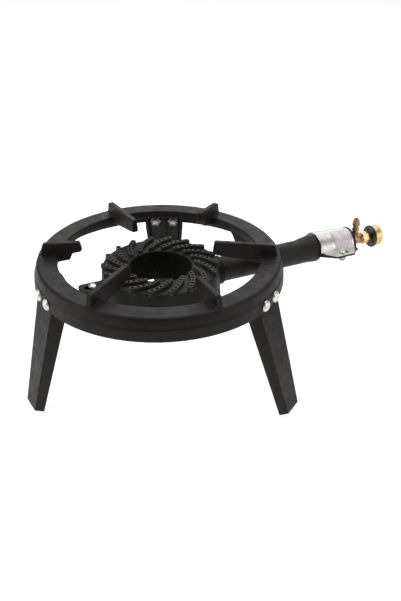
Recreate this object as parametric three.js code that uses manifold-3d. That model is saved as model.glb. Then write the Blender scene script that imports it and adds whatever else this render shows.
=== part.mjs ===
// Propane burner stand: a cast-iron ring on three bolted legs, a ribbed burner
// head fed by a mixing tube, a sliding air shutter and a brass needle valve.
// Millimetres, +Z up. The ring's axis is vertical; the mixing tube leaves it at
// TUBE_AZIMUTH. Heights named ..._Z in the first block are above the floor.
import * as THREE from 'three';
import { ConvexGeometry } from 'three/addons/geometries/ConvexGeometry.js';
import { mergeVertices } from 'three/addons/utils/BufferGeometryUtils.js';
import Module from 'manifold-3d';

const wasm = await Module();
wasm.setup();

// ---------------------------------------------------------------- dimensions
const RING_TOP_Z = 218;            // upper face of the ring's flange
const RING_SEGMENTS = 60;
const FLANGE_INNER_R = 161.5;
const SKIRT_DEPTH = 36.7;
const SKIRT_OUTER_R = 200;
const SKIRT_INNER_R = 195.3;
const GAP = 0.3;                   // clearance between pieces that touch
const OUTLINE_MIDDLE_X = 90.72;    // middle of the part's outline, from the ring's axis
const OUTLINE_MIDDLE_Y = 21.5;

const FIN_COUNT = 6;
const FIN_THICKNESS = 9;
const FIN_OUTER_R = 188.5;
const LONG_FIN_INNER_R = 86;
const SHORT_FIN_INNER_R = 124;
const FIN_TIP_HEIGHT = 18.4;       // above the flange, at the outer end
const FIN_TOP_SLOPE = 0.055;       // the tops rise towards the middle

const LEG_AZIMUTHS = { right_leg: 330, left_leg: 210, rear_leg: 90 };
const LEG_FOOT_R = { right_leg: 249, left_leg: 237, rear_leg: 243 };
const LEG_FOOT_RISE = { right_leg: 7.5, left_leg: 5.8, rear_leg: 5.8 }; // outer edge above the inner one
const LEG_FACE_R = 191.8;          // outer face of the bolted pad
const LEG_FOOT_DEPTH = 14.3;
const LEG_HEAD_DEPTH = 18;
const LEG_KNEE_DEPTH = 38;         // below the ring's top, where the splay starts
const LEG_LEDGE_R = 198;           // the splayed part stands out under the skirt
const LEG_HEAD_DROP = 11;
const LEG_WALL = 5;
const BOLT_SPACING = 32;
const BOLT_DROP = 27.3;            // bolt axes below the ring's top
const BOLT_R = 5;
const BOLT_HEAD_R = 9.5;
const NUT_FLATS = 16;
const NUT_HEIGHT = 8.2;
const BOLT_SEAT_R = 198.4;

const TUBE_AZIMUTH = 25;
const TUBE_DROP = 52.5;            // tube axis below the ring's top
const TUBE_R = 21;
const TUBE_BORE_R = 15;
const TUBE_SEGMENTS = 26;
const TUBE_START = 90;             // inner end, let into the burner head
const BELL_END = 294.5;
const BELL_R = 24.2;
const BELL_RISE = 2.4;             // centre of the mouth above the tube axis
const BELL_WALL = 3;
const END_WALL = 359.4;            // inner face of the jet's wall
const END_WALL_THICKNESS = 4.1;
const END_WALL_R = 27.8;

const HEAD_SHIFT = 1.5;             // the burner head sits this far towards the tube
const HEAD_HOLE_R = 51;
const HEAD_TOP_R = 94.2;
const HEAD_BOTTOM_R = 98;
const BOSS_R = 24.2;
const DECK_DROP = 21.5;            // deck of the burner below the ring's top
const HEAD_BASE_DROP = 75;
const HEAD_WALL = 5;
const RIB_COUNT = 18;
const RIB_INNER_R = 56.6;
const RIB_OUTER_R = 92.3;
const RIB_SWEEP = 26.4;             // degrees turned from the inner to the outer end
const RIB_WIDTH = 8;
const RIB_HEIGHT = 6;
const RIB_PHASE = 88.2;
const PORTS_PER_RIB = 6;
const PORT_R = 2;
const TUBE_SCREW = 101;            // set screw in the head's socket
const ARM_DROP = 33;
const ARM_THICKNESS = 8;
const ARM_END_R = 136;
const ARM_HALF_WIDTH = 14;
const ARM_BOLT_R = 114;

const COVER_START = 291;
const COVER_END = 358.6;
const COVER_START_R = 30.8;
const COVER_END_R = 27.3;
const COVER_SHEET = 1.2;
const COVER_AXIS_DROP = 1.5;
const COVER_BEND = 292.5;          // foot of the slanted leading edge
const EAR_START = 311.5;
const EAR_END = 347;
const EAR_HALF_WIDTH = 46;
const BAR_TOP = 1.2;               // side bars of the tube, above the tube axis
const BAR_THICKNESS = 4.5;
const BAR_INNER = 23;
const SHUTTER_SCREW = 327.5;
const SHUTTER_SCREW_OFFSET = 38.4;
const SHUTTER_TRAVEL = 8;

const VALVE_START = 363.8;
const BARB_STATION = 377.6;
const BARB_TOP = 41.4;
const GLAND_START = 391;           // inner face of the gland nut's hexagon
const KNOB_BACK = 409.6;
const CAP_START = 413.3;
const CAP_DEPTH = 14.7;
const KNOB_R = 18.2;
const KNOB_DISC_R = 19.8;

// ------------------------------------------------------------------ helpers
const radians = THREE.MathUtils.degToRad;

/** Position and index only, shared vertices merged, faces pointing out. */
function welded(geometry) {
  const bare = geometry.clone();
  for (const name of Object.keys(bare.attributes)) {
    if (name !== 'position') bare.deleteAttribute(name);
  }
  const merged = mergeVertices(bare, 1e-4);
  const points = merged.getAttribute('position').array;
  const faces = [];
  let volume = 0;
  const corners = [new THREE.Vector3(), new THREE.Vector3(), new THREE.Vector3()];
  for (let i = 0; i < merged.index.count; i += 3) {
    const face = [merged.index.getX(i), merged.index.getX(i + 1), merged.index.getX(i + 2)];
    if (new Set(face).size < 3) continue;
    faces.push(face);
    face.forEach((vertex, k) => corners[k].fromArray(points, 3 * vertex));
    volume += corners[0].dot(corners[1].clone().cross(corners[2]));
  }
  if (volume < 0) faces.forEach((face) => face.reverse());
  const result = new THREE.BufferGeometry();
  result.setAttribute('position', new THREE.BufferAttribute(points, 3));
  result.setIndex(faces.flat());
  return result;
}

function toManifold(geometry) {
  const shape = welded(geometry);
  return new wasm.Manifold(new wasm.Mesh({
    numProp: 3,
    vertProperties: new Float32Array(shape.getAttribute('position').array),
    triVerts: new Uint32Array(shape.index.array),
  }));
}

function fromManifold(solid) {
  const mesh = solid.getMesh();
  const geometry = new THREE.BufferGeometry();
  geometry.setAttribute('position', new THREE.BufferAttribute(new Float32Array(mesh.vertProperties), 3));
  geometry.setIndex(Array.from(mesh.triVerts));
  return geometry;
}

function join(...pieces) {
  return fromManifold(pieces.map(toManifold).reduce((all, piece) => all.add(piece)));
}

function cut(body, ...tools) {
  return fromManifold(tools.map(toManifold).reduce((rest, tool) => rest.subtract(tool), toManifold(body)));
}

function common(first, second) {
  return fromManifold(toManifold(first).intersect(toManifold(second)));
}

/** Solid of revolution about +Z from [radius, height] points. */
function turned(profile, segments) {
  const points = profile.map(([r, z]) => new THREE.Vector2(r, z));
  return new THREE.LatheGeometry(points, segments).rotateX(Math.PI / 2);
}

/** Ring of revolution: the profile closes on itself. */
function ringOf(profile, segments) {
  return turned([...profile, profile[0]], segments);
}

/** Solid of revolution about +X from [radius, station] points. */
function turnedAlongX(profile, segments) {
  return turned(profile, segments).rotateY(Math.PI / 2);
}

function outline(points) {
  return new THREE.Shape(points.map(([x, y]) => new THREE.Vector2(x, y)));
}

/** Outline in the floor's plane, raised from z = low to z = high. */
function slab(shape, low, high) {
  return new THREE.ExtrudeGeometry(shape, { depth: high - low, bevelEnabled: false }).translate(0, 0, low);
}

/** Outline in [radius, height], given a thickness across the radius. */
function radialPlate(points, thickness) {
  return new THREE.ExtrudeGeometry(outline(points), { depth: thickness, bevelEnabled: false })
    .rotateX(Math.PI / 2)
    .translate(0, thickness / 2, 0);
}

function box(x0, x1, y0, y1, z0, z1) {
  return new THREE.BoxGeometry(x1 - x0, y1 - y0, z1 - z0)
    .translate((x0 + x1) / 2, (y0 + y1) / 2, (z0 + z1) / 2);
}

function rodAlongX(radius, x0, x1, segments) {
  return new THREE.CylinderGeometry(radius, radius, x1 - x0, segments)
    .rotateZ(Math.PI / 2)
    .translate((x0 + x1) / 2, 0, 0);
}

function rodAlongZ(radius, z0, z1, segments) {
  return new THREE.CylinderGeometry(radius, radius, z1 - z0, segments)
    .rotateX(Math.PI / 2)
    .translate(0, 0, (z0 + z1) / 2);
}

/** Hexagon across flats, standing along +Z, with a point towards +X. */
function hexAlongZ(flats, z0, z1) {
  return rodAlongZ(flats / Math.sqrt(3), z0, z1, 6).rotateZ(Math.PI / 2);
}

function hexAlongX(flats, x0, x1) {
  return hexAlongZ(flats, x0, x1).rotateY(Math.PI / 2);
}

// ---------------------------------------------------------------- materials
function finish(color, roughness, metalness) {
  return new THREE.MeshStandardMaterial({ color, roughness, metalness });
}

const castIron = finish(0x24231f, 0.62, 0.55);
const zincPlate = finish(0xd4d3cd, 0.32, 0.9);
const sheetMetal = finish(0xc9c7c0, 0.38, 0.85);
const brass = finish(0xb8793f, 0.3, 0.95);
const brightBrass = finish(0xe0a860, 0.25, 0.95);
const goldCap = finish(0xd9b458, 0.3, 0.9);
const darkCore = finish(0x35321c, 0.4, 0.5);
const paper = finish(0xd8d2e2, 0.7, 0.0);
const sealing = finish(0x1b1b1b, 0.8, 0.0);

function named(name, geometry, material) {
  const mesh = new THREE.Mesh(geometry, material);
  mesh.name = name;
  return mesh;
}

// --------------------------------------------------------------- ring frame
/** Flange, inner lip and drafted skirt with its proud lower band. */
function ringSection() {
  return ringOf([
    [FLANGE_INNER_R, -1], [162.6, 0], [190, 0], [193.6, -1.8], [195.3, -6],
    [197.6, -17.2], [199, -18.2], [SKIRT_OUTER_R, -SKIRT_DEPTH],
    [SKIRT_INNER_R, -SKIRT_DEPTH], [194.2, -20], [188, -6.5], [166, -6.5],
    [164.6, -14], [162, -14],
  ], RING_SEGMENTS);
}

/** A pan support: a flat plate that runs in past the flange and down to its lip. */
function fin(innerR, lowInnerZ) {
  const topAt = (r) => FIN_TIP_HEIGHT + (FIN_OUTER_R - 4.5 - r) * FIN_TOP_SLOPE;
  return radialPlate([
    [FIN_OUTER_R, -3], [FIN_OUTER_R, 1], [FIN_OUTER_R - 2.2, FIN_TIP_HEIGHT - 4.5],
    [FIN_OUTER_R - 3.4, FIN_TIP_HEIGHT - 1.2], [FIN_OUTER_R - 6.5, FIN_TIP_HEIGHT],
    [innerR + 4, topAt(innerR + 4)], [innerR + 1.6, topAt(innerR) - 1.6],
    [innerR - 1, lowInnerZ + 2.5], [innerR + 1.5, lowInnerZ], [innerR + 14, lowInnerZ - 3],
    [143, -9.5], [163, -13.5],
  ], FIN_THICKNESS);
}

/** Flat pad inside the skirt that the leg is pulled up against. */
function legPad(azimuth) {
  return box(LEG_FACE_R + GAP, 195.5, -27, 27, -SKIRT_DEPTH, -15).rotateZ(radians(azimuth));
}

/** Wall that hangs from the skirt and carries the mixing tube in a round hole. */
function tubeApron() {
  const wall = ringOf([[192, -86], [192, -34], [197.8, -34], [197.8, -86]], RING_SEGMENTS);
  const face = radialPlateAcross([
    [-90, -30], [-84, -38], [-64, -78], [-56, -83], [56, -83], [64, -78], [84, -38], [90, -30],
  ], 150, 240);
  return common(wall, face.rotateZ(radians(TUBE_AZIMUTH)));
}

/** Outline in [across, height], standing between two distances along +X. */
function radialPlateAcross(points, near, far) {
  return new THREE.ExtrudeGeometry(outline(points), { depth: far - near, bevelEnabled: false })
    .rotateX(Math.PI / 2)
    .rotateZ(Math.PI / 2)
    .translate(near, 0, 0);
}

/** Bracket inside the ring that the burner's arm is bolted down to. */
function armShelf() {
  const shelfTop = -(ARM_DROP + ARM_THICKNESS + GAP);
  return radialPlate([
    [104, shelfTop], [148, shelfTop], [155, shelfTop + 6], [158, -12], [158, -5], [166, -5],
    [166, -26], [161, shelfTop - 4], [153, shelfTop - 8], [104, shelfTop - 8],
  ], 2 * ARM_HALF_WIDTH).rotateZ(radians(TUBE_AZIMUTH + 180));
}

function ringFrame() {
  const pieces = [ringSection(), tubeApron(), armShelf()];
  for (let i = 0; i < FIN_COUNT; i += 1) {
    const long = i % 2 === 0;
    const plate = long ? fin(LONG_FIN_INNER_R, 1.5) : fin(SHORT_FIN_INNER_R, 5);
    pieces.push(plate.rotateZ(radians((360 / FIN_COUNT) * i)));
  }
  const tools = [];
  for (const azimuth of Object.values(LEG_AZIMUTHS)) {
    pieces.push(legPad(azimuth));
    const pocket = box(170, LEG_FACE_R + GAP, -36, 36, -45, -LEG_HEAD_DROP + GAP);
    tools.push(pocket.rotateZ(radians(azimuth)));
    for (const side of [-1, 1]) {
      const across = (side * BOLT_SPACING) / 2;
      const hole = rodAlongX(BOLT_R + GAP, 180, 205, 12);
      const seat = rodAlongX(BOLT_HEAD_R + 0.6, BOLT_SEAT_R, 206, 20);
      for (const tool of [hole, seat]) {
        tools.push(tool.translate(0, across, -BOLT_DROP).rotateZ(radians(azimuth)));
      }
    }
  }
  const tubeHole = rodAlongX(TUBE_R + 0.6, 170, 215, 32).translate(0, 0, -TUBE_DROP);
  tools.push(tubeHole.rotateZ(radians(TUBE_AZIMUTH)));
  const shelfHole = rodAlongZ(4.4, -60, -35, 12).translate(ARM_BOLT_R, 0, 0);
  tools.push(shelfHole.rotateZ(radians(TUBE_AZIMUTH + 180)));
  const body = cut(join(...pieces), ...tools);
  const ring = named('ring_frame', body, castIron);
  ring.position.z = RING_TOP_Z;
  return ring;
}

// --------------------------------------------------------------------- legs
/** Convex block between four rectangles' corner points [radius, half width, height]. */
function taperedBlock(stations) {
  const points = stations.flatMap(([r, half, z]) => [
    new THREE.Vector3(r, half, z),
    new THREE.Vector3(r, -half, z),
  ]);
  return new ConvexGeometry(points);
}

/** Open channel: outer face, two flared sides and a middle rib. */
function legBody(footR, footRise) {
  const footOuter = -(RING_TOP_Z - footRise);
  const footInner = -RING_TOP_Z;
  const innerFootR = footR - LEG_FOOT_DEPTH;
  const innerHeadR = LEG_FACE_R - LEG_HEAD_DEPTH;
  const head = taperedBlock([
    [LEG_FACE_R, 29.5, -LEG_HEAD_DROP], [LEG_FACE_R, 28.5, -LEG_KNEE_DEPTH],
    [innerHeadR, 34, -LEG_HEAD_DROP], [innerHeadR, 33, -LEG_KNEE_DEPTH],
  ]);
  const shank = taperedBlock([
    [LEG_LEDGE_R, 28.5, -LEG_KNEE_DEPTH], [footR, 17.8, footOuter],
    [innerHeadR, 33, -LEG_KNEE_DEPTH], [innerFootR, 20, footInner],
  ]);
  const headHollow = taperedBlock([
    [LEG_FACE_R - 5.5, 25.6, -LEG_HEAD_DROP + 4], [LEG_FACE_R - 5.5, 24.6, -LEG_KNEE_DEPTH],
    [innerHeadR - 10, 31.5, -LEG_HEAD_DROP + 4], [innerHeadR - 10, 30.5, -LEG_KNEE_DEPTH],
  ]);
  const shankHollow = taperedBlock([
    [LEG_LEDGE_R - 6, 24.6, -LEG_KNEE_DEPTH - 7], [footR - 3.6, 12.8, footOuter - 8],
    [LEG_FACE_R - 5.5, 24.6, -LEG_KNEE_DEPTH],
    [innerHeadR - 10, 30.5, -LEG_KNEE_DEPTH], [innerFootR - 10, 17.4, footInner - 8],
  ]);
  const rib = radialPlate([
    [LEG_FACE_R - 3, -LEG_HEAD_DROP], [LEG_FACE_R - 3, -LEG_KNEE_DEPTH],
    [footR - 2.5, footOuter], [innerFootR + 4, footInner + 1.9],
    [innerHeadR + 4, -LEG_KNEE_DEPTH], [innerHeadR + 4, -LEG_HEAD_DROP],
  ], LEG_WALL);
  const holes = [-1, 1].map((side) => rodAlongX(BOLT_R + GAP, 170, 200, 12)
    .translate(0, (side * BOLT_SPACING) / 2, -BOLT_DROP));
  return cut(join(cut(join(head, shank), headHollow, shankHollow), rib), ...holes);
}

/** Dome-headed bolt along +X: its seat is at x = 0, the shank runs inwards. */
function domeBolt() {
  const length = BOLT_SEAT_R - LEG_FACE_R + 5.5 + NUT_HEIGHT + 3;
  return turnedAlongX([
    [0, -length], [BOLT_R - 0.1, -length], [BOLT_R - 0.1, GAP],
    [BOLT_HEAD_R, GAP], [BOLT_HEAD_R - 0.4, 2], [BOLT_HEAD_R - 3.6, 4.6], [0, 5.6],
  ], 14);
}

function hexNut(flats, height, bore) {
  return cut(hexAlongX(flats, 0, height), rodAlongX(bore, -1, height + 1, 12));
}

function leg(name, azimuth) {
  const group = new THREE.Group();
  group.position.z = RING_TOP_Z;
  group.rotation.z = radians(azimuth);
  group.add(named(name, legBody(LEG_FOOT_R[name], LEG_FOOT_RISE[name]), castIron));
  for (const [tag, side] of [['a', -1], ['b', 1]]) {
    const across = (side * BOLT_SPACING) / 2;
    const bolt = named(`${name}_bolt_${tag}`, domeBolt(), zincPlate);
    bolt.position.set(BOLT_SEAT_R, across, -BOLT_DROP);
    const nut = named(`${name}_nut_${tag}`, hexNut(NUT_FLATS, NUT_HEIGHT, BOLT_R + 0.2), zincPlate);
    nut.position.set(LEG_FACE_R - 5.5 - GAP - NUT_HEIGHT, across, -BOLT_DROP);
    group.add(bolt, nut);
  }
  return group;
}

// -------------------------------------------------------------- burner head
/** Middle line of a rib at s = 0 (inner end) to 1 (outer end), before its turn about the axis. */
function ribPoint(s, offset) {
  const at = (k) => {
    const r = RIB_INNER_R + (RIB_OUTER_R - RIB_INNER_R) * k;
    const angle = -radians(RIB_SWEEP) * k ** 1.08;
    return new THREE.Vector2(r * Math.cos(angle), r * Math.sin(angle));
  };
  const along = at(s + 0.01).sub(at(s - 0.01 < 0 ? 0 : s - 0.01)).normalize();
  return at(s).add(new THREE.Vector2(-along.y, along.x).multiplyScalar(offset));
}

function rib() {
  const steps = 3;
  const half = RIB_WIDTH / 2;
  const side = (offset) => Array.from({ length: steps + 1 }, (_, i) => ribPoint(i / steps, offset));
  const nose = ribPoint(0, 0).multiplyScalar(1 - 3 / RIB_INNER_R);
  const shape = new THREE.Shape([...side(-half), ...side(half).reverse(), nose]);
  return slab(shape, -DECK_DROP - 1, -DECK_DROP + RIB_HEIGHT);
}

/** Flat arm with a rounded end and a slot for the holding bolt. */
function arm() {
  const shape = new THREE.Shape();
  const corner = 5;
  shape.moveTo(-90, -ARM_HALF_WIDTH - 4);
  shape.lineTo(-100, -ARM_HALF_WIDTH);
  shape.lineTo(-ARM_END_R + corner, -ARM_HALF_WIDTH);
  shape.quadraticCurveTo(-ARM_END_R, -ARM_HALF_WIDTH, -ARM_END_R, -ARM_HALF_WIDTH + corner);
  shape.lineTo(-ARM_END_R, ARM_HALF_WIDTH - corner);
  shape.quadraticCurveTo(-ARM_END_R, ARM_HALF_WIDTH, -ARM_END_R + corner, ARM_HALF_WIDTH);
  shape.lineTo(-100, ARM_HALF_WIDTH);
  shape.lineTo(-90, ARM_HALF_WIDTH + 4);
  return slab(shape, -ARM_DROP - ARM_THICKNESS, -ARM_DROP);
}

function armSlot() {
  const half = 4.7;
  const shape = new THREE.Shape();
  shape.absarc(-(ARM_BOLT_R + 11), 0, half, Math.PI / 2, (3 * Math.PI) / 2);
  shape.absarc(-(ARM_BOLT_R - 4), 0, half, -Math.PI / 2, Math.PI / 2);
  return new THREE.ExtrudeGeometry(shape, { depth: 30, bevelEnabled: false, curveSegments: 5 })
    .translate(0, 0, -ARM_DROP - 20);
}

function burnerHead() {
  const segments = 48;
  const shell = ringOf([
    [HEAD_HOLE_R, -HEAD_BASE_DROP], [HEAD_HOLE_R, -DECK_DROP],
    [HEAD_TOP_R - 1.5, -DECK_DROP], [HEAD_TOP_R, -DECK_DROP - 1.5],
    [HEAD_BOTTOM_R, -HEAD_BASE_DROP],
  ], segments);
  const chamber = ringOf([
    [HEAD_HOLE_R + HEAD_WALL, -HEAD_BASE_DROP + HEAD_WALL],
    [HEAD_HOLE_R + HEAD_WALL, -DECK_DROP - HEAD_WALL],
    [HEAD_TOP_R - HEAD_WALL, -DECK_DROP - HEAD_WALL],
    [HEAD_BOTTOM_R - HEAD_WALL, -HEAD_BASE_DROP + HEAD_WALL],
  ], segments);
  const turn = radians(-TUBE_AZIMUTH);
  const pieces = [shell, arm()];
  const ports = [];
  for (let i = 0; i < RIB_COUNT; i += 1) {
    const angle = turn + radians(RIB_PHASE - (360 / RIB_COUNT) * i);
    pieces.push(rib().rotateZ(angle));
    for (let k = 0; k < PORTS_PER_RIB; k += 1) {
      const centre = ribPoint(0.06 + (0.86 * k) / (PORTS_PER_RIB - 1), 0);
      const port = rodAlongZ(PORT_R, -DECK_DROP - HEAD_WALL - 2, -DECK_DROP + RIB_HEIGHT + 2, 4);
      ports.push(port.translate(centre.x, centre.y, 0).rotateZ(angle));
    }
  }
  const bossEnd = 107;
  const boss = rodAlongX(BOSS_R, 86, bossEnd, 32).translate(0, 0, -TUBE_DROP);
  pieces.push(cut(boss, chamber));
  const socket = rodAlongX(TUBE_R + GAP, TUBE_START - GAP, bossEnd + 2, 32).translate(0, 0, -TUBE_DROP);
  const inlet = rodAlongX(TUBE_BORE_R, 80, TUBE_START + 2, 24).translate(0, 0, -TUBE_DROP);
  const screwHole = rodAlongZ(4.2, -TUBE_DROP - 30, -TUBE_DROP - 10, 12).translate(TUBE_SCREW, 0, 0);
  const body = cut(cut(join(...pieces), chamber), socket, inlet, screwHole, armSlot(), ...ports);
  return named('burner_head', body, castIron);
}

// -------------------------------------------------------------- mixing tube
/** Round section across the tube, as points for a convex block. */
function hoop(station, radius, rise) {
  return Array.from({ length: TUBE_SEGMENTS }, (_, i) => {
    const angle = (2 * Math.PI * i) / TUBE_SEGMENTS;
    return new THREE.Vector3(station, radius * Math.cos(angle), rise + radius * Math.sin(angle));
  });
}

/** Outline in [station, across] of a side bar, from inside the bell to the jet's wall. */
function barOutline(side) {
  const outer = END_WALL + END_WALL_THICKNESS;
  const points = [
    [278, 18], [292, 30], [EAR_START + 2, EAR_HALF_WIDTH - 1], [EAR_END + 2, EAR_HALF_WIDTH - 1],
    [END_WALL, 33], [outer, 33], [outer, BAR_INNER], [BELL_END, BAR_INNER], [290, 18],
  ];
  return outline(points.map(([x, across]) => [x, side * across]));
}

/** Tube with a lopsided bell mouth; beyond it two side bars carry the wall of the jet. */
function mixingTube() {
  const start = TUBE_START + HEAD_SHIFT;
  const tube = turnedAlongX([
    [0, start], [TUBE_R, start], [TUBE_R, 272], [0, 272],
  ], TUBE_SEGMENTS);
  const bell = new ConvexGeometry([
    ...hoop(263, 21.4, 1.4), ...hoop(286, BELL_R, BELL_RISE), ...hoop(BELL_END - 3, BELL_R, BELL_RISE),
    ...hoop(BELL_END, BELL_R - 1.4, BELL_RISE),
  ]);
  const throat = new ConvexGeometry([
    ...hoop(262, TUBE_BORE_R, 0), ...hoop(BELL_END, BELL_R - BELL_WALL, BELL_RISE),
    ...hoop(BELL_END + 1, BELL_R - BELL_WALL, BELL_RISE),
  ]);
  const bore = rodAlongX(TUBE_BORE_R, start - 1, 264, TUBE_SEGMENTS);
  const wallShape = new THREE.Shape();
  wallShape.moveTo(END_WALL_R, BAR_TOP - BAR_THICKNESS);
  wallShape.lineTo(END_WALL_R, -COVER_AXIS_DROP);
  wallShape.absarc(0, -COVER_AXIS_DROP, END_WALL_R, 0, Math.PI);
  wallShape.lineTo(-END_WALL_R, BAR_TOP - BAR_THICKNESS);
  wallShape.lineTo(-14, -11);
  wallShape.lineTo(14, -11);
  const wall = new THREE.ExtrudeGeometry(wallShape, {
    depth: END_WALL_THICKNESS, bevelEnabled: false, curveSegments: 16,
  }).rotateX(Math.PI / 2).rotateZ(Math.PI / 2).translate(END_WALL, 0, 0);
  const bars = [-1, 1].map((side) => slab(barOutline(side), BAR_TOP - BAR_THICKNESS, BAR_TOP));
  const holes = [-1, 1].map((side) => rodAlongZ(3.3, -20, 10, 12)
    .translate(SHUTTER_SCREW, side * SHUTTER_SCREW_OFFSET, 0));
  const jetHole = rodAlongX(6.2, END_WALL - 2, END_WALL + END_WALL_THICKNESS + 2, 16);
  const body = cut(join(tube, bell, wall, ...bars), bore, throat, jetHole, ...holes);
  return named('mixing_tube', body, castIron);
}

// -------------------------------------------------------------- air shutter
/** Conical shell about the tube, thicker or thinner by an offset from the sheet's outer face. */
function coverCone(start, end, offset) {
  const radiusAt = (x) => COVER_START_R
    - ((COVER_START_R - COVER_END_R) * (x - COVER_START)) / (COVER_END - COVER_START);
  return new THREE.CylinderGeometry(radiusAt(end) + offset, radiusAt(start) + offset, end - start, 40)
    .rotateZ(-Math.PI / 2)
    .translate((start + end) / 2, 0, -COVER_AXIS_DROP);
}

function earSlot(side) {
  const half = 3.4;
  const shape = new THREE.Shape();
  const across = side * SHUTTER_SCREW_OFFSET;
  shape.absarc(SHUTTER_SCREW, across, half, Math.PI / 2, (3 * Math.PI) / 2);
  shape.absarc(SHUTTER_SCREW + SHUTTER_TRAVEL, across, half, -Math.PI / 2, Math.PI / 2);
  return new THREE.ExtrudeGeometry(shape, { depth: 12, bevelEnabled: false, curveSegments: 5 })
    .translate(0, 0, -6);
}

/** Half sheet over the mouth of the tube, with a flat ear folded out on each side. */
function airShutter() {
  const earLow = BAR_TOP + GAP;
  const below = box(COVER_START - 5, COVER_END + 5, -60, 60, -60, earLow);
  const ears = [-1, 1].map((side) => slab(outline([
    [COVER_BEND, side * 22], [COVER_BEND, side * 26], [EAR_START, side * EAR_HALF_WIDTH],
    [EAR_END, side * EAR_HALF_WIDTH], [COVER_END, side * 30], [COVER_END, side * 22],
  ]), earLow, earLow + COVER_SHEET));
  const inside = coverCone(COVER_START - 2, COVER_END + 2, -COVER_SHEET);
  const lead = radialPlateAcrossY([
    [COVER_START - 6, earLow - 8], [COVER_START - 6, 24], [COVER_START, 24], [COVER_BEND, earLow - 0.2],
    [COVER_BEND, earLow - 8],
  ], -50, 50);
  const body = cut(join(coverCone(COVER_START, COVER_END, 0), ...ears), inside, below, lead,
    earSlot(-1), earSlot(1));
  return named('air_shutter', body, sheetMetal);
}

/** Outline in [station, height], standing between two distances along +Y. */
function radialPlateAcrossY(points, near, far) {
  return new THREE.ExtrudeGeometry(outline(points), { depth: far - near, bevelEnabled: false })
    .rotateX(Math.PI / 2)
    .translate(0, far, 0);
}

/** Thin blank plate that follows the shutter's curve. */
function ratingLabel() {
  const start = 321;
  const end = 351;
  const shell = cut(coverCone(start, end, 0.7), coverCone(start - 1, end + 1, 0.3));
  const wedge = outline([[0, 0], [-60, 14], [-60, 60], [-6, 60]]);
  const sector = new THREE.ExtrudeGeometry(wedge, { depth: end - start + 4, bevelEnabled: false })
    .rotateX(Math.PI / 2)
    .rotateZ(Math.PI / 2)
    .translate(start - 2, 0, 0);
  return named('rating_label', common(shell, sector), paper);
}

function shutterFixings(side, tag) {
  const group = new THREE.Group();
  group.position.set(SHUTTER_SCREW, side * SHUTTER_SCREW_OFFSET, 0);
  const seat = BAR_TOP + GAP + COVER_SHEET + GAP;
  const under = BAR_TOP - BAR_THICKNESS - GAP;
  const screw = turned([
    [0, -12.8], [2.2, -12.8], [2.9, -11.9], [2.9, seat], [5.6, seat], [5.6, seat + 1.6],
    [4.4, seat + 3.2], [0, seat + 3.6],
  ], 16);
  const slot = box(-8, 8, -0.8, 0.8, seat + 1.6, seat + 6).rotateZ(radians(35));
  const washer = ringOf([[3.3, under - 1.6], [6.2, under - 1.6], [6.2, under], [3.3, under]], 18);
  const nutTop = under - 1.6 - GAP;
  const nut = cut(hexAlongZ(10, nutTop - 5, nutTop), rodAlongZ(3.1, nutTop - 8, nutTop + 2, 12));
  group.add(
    named(`shutter_screw_${tag}`, cut(screw, slot), zincPlate),
    named(`shutter_washer_${tag}`, washer, zincPlate),
    named(`shutter_nut_${tag}`, nut, zincPlate),
  );
  return group;
}

// -------------------------------------------------------------------- valve
function injector() {
  const collar = hexAlongX(13, 344, END_WALL - GAP);
  const core = turnedAlongX([
    [0, 334], [2.4, 334], [4.4, 337], [5.2, 344], [5.8, 350], [5.8, 369.5], [0, 369.5],
  ], 16);
  return named('injector', cut(join(core, collar), rodAlongX(1.1, 330, 372, 8)), brightBrass);
}

/** Elbow body: inlet barb upwards, outlet towards the jet, gland away from it. */
function valveBody() {
  const barrel = turnedAlongX([
    [0, VALVE_START], [9.5, VALVE_START], [9.5, 367], [8, 368.5], [8, 385], [9, 387],
    [9, GLAND_START - 1], [0, GLAND_START - 1],
  ], 16);
  const barb = turned([
    [0, 0], [6.6, 0], [6.2, 9], [4.9, 11], [6.3, 12], [5.1, 17.5], [4.9, 19], [6.3, 20], [5.1, 25.5],
    [4.9, 27.5], [6.6, 29.5], [6.4, 34], [4.6, BARB_TOP], [0, BARB_TOP],
  ], 14).translate(BARB_STATION, 0, 0);
  const bores = [
    rodAlongX(6.1, VALVE_START - 2, 370, 14),
    rodAlongX(3.9, 369, 383, 14),
    rodAlongX(5.5, 381, GLAND_START + 1, 14),
    rodAlongZ(2.6, 0, BARB_TOP + 2, 10).translate(BARB_STATION, 0, 0),
  ];
  return named('valve_body', cut(join(barrel, barb), ...bores), brass);
}

function glandNut() {
  const end = GLAND_START + 12;
  const hex = hexAlongX(19, GLAND_START, end);
  const collar = rodAlongX(7.2, GLAND_START - 1 + GAP, GLAND_START + 1, 20);
  const plug = rodAlongX(5.2, GLAND_START - 5.4, GLAND_START + 1, 16);
  const bores = [rodAlongX(3.3, GLAND_START - 10, end + 4, 12), rodAlongX(4, GLAND_START + 3, end - 1, 12)];
  return named('gland_nut', cut(join(hex, collar, plug), ...bores), brightBrass);
}

function glandPacking() {
  const near = GLAND_START - 7.7;
  const far = GLAND_START - 5.8;
  const ring = ringOf([[3.2, near], [5.2, near], [5.2, far], [3.2, far]], 18);
  return named('gland_packing', ring.rotateY(Math.PI / 2), sealing);
}

/** Needle at the inner end, and a groove for the seal that rides inside the gland nut. */
function valveSpindle() {
  const groove = GLAND_START + 6.3;
  const core = turnedAlongX([
    [0, 371], [0.6, 371], [2.9, 376], [2.9, groove - 1.3], [2.1, groove - 1.3], [2.1, groove + 1.3],
    [2.9, groove + 1.3], [2.9, 423], [0, 423],
  ], 18);
  const thread = rodAlongX(1.7, 415, 425, 10);
  return named('valve_spindle', cut(core, thread), brass);
}

function spindleSeal() {
  const ring = new THREE.TorusGeometry(3.0, 0.6, 6, 14).rotateY(Math.PI / 2);
  return named('spindle_seal', welded(ring.translate(GLAND_START + 6.3, 0, 0)), sealing);
}

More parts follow.
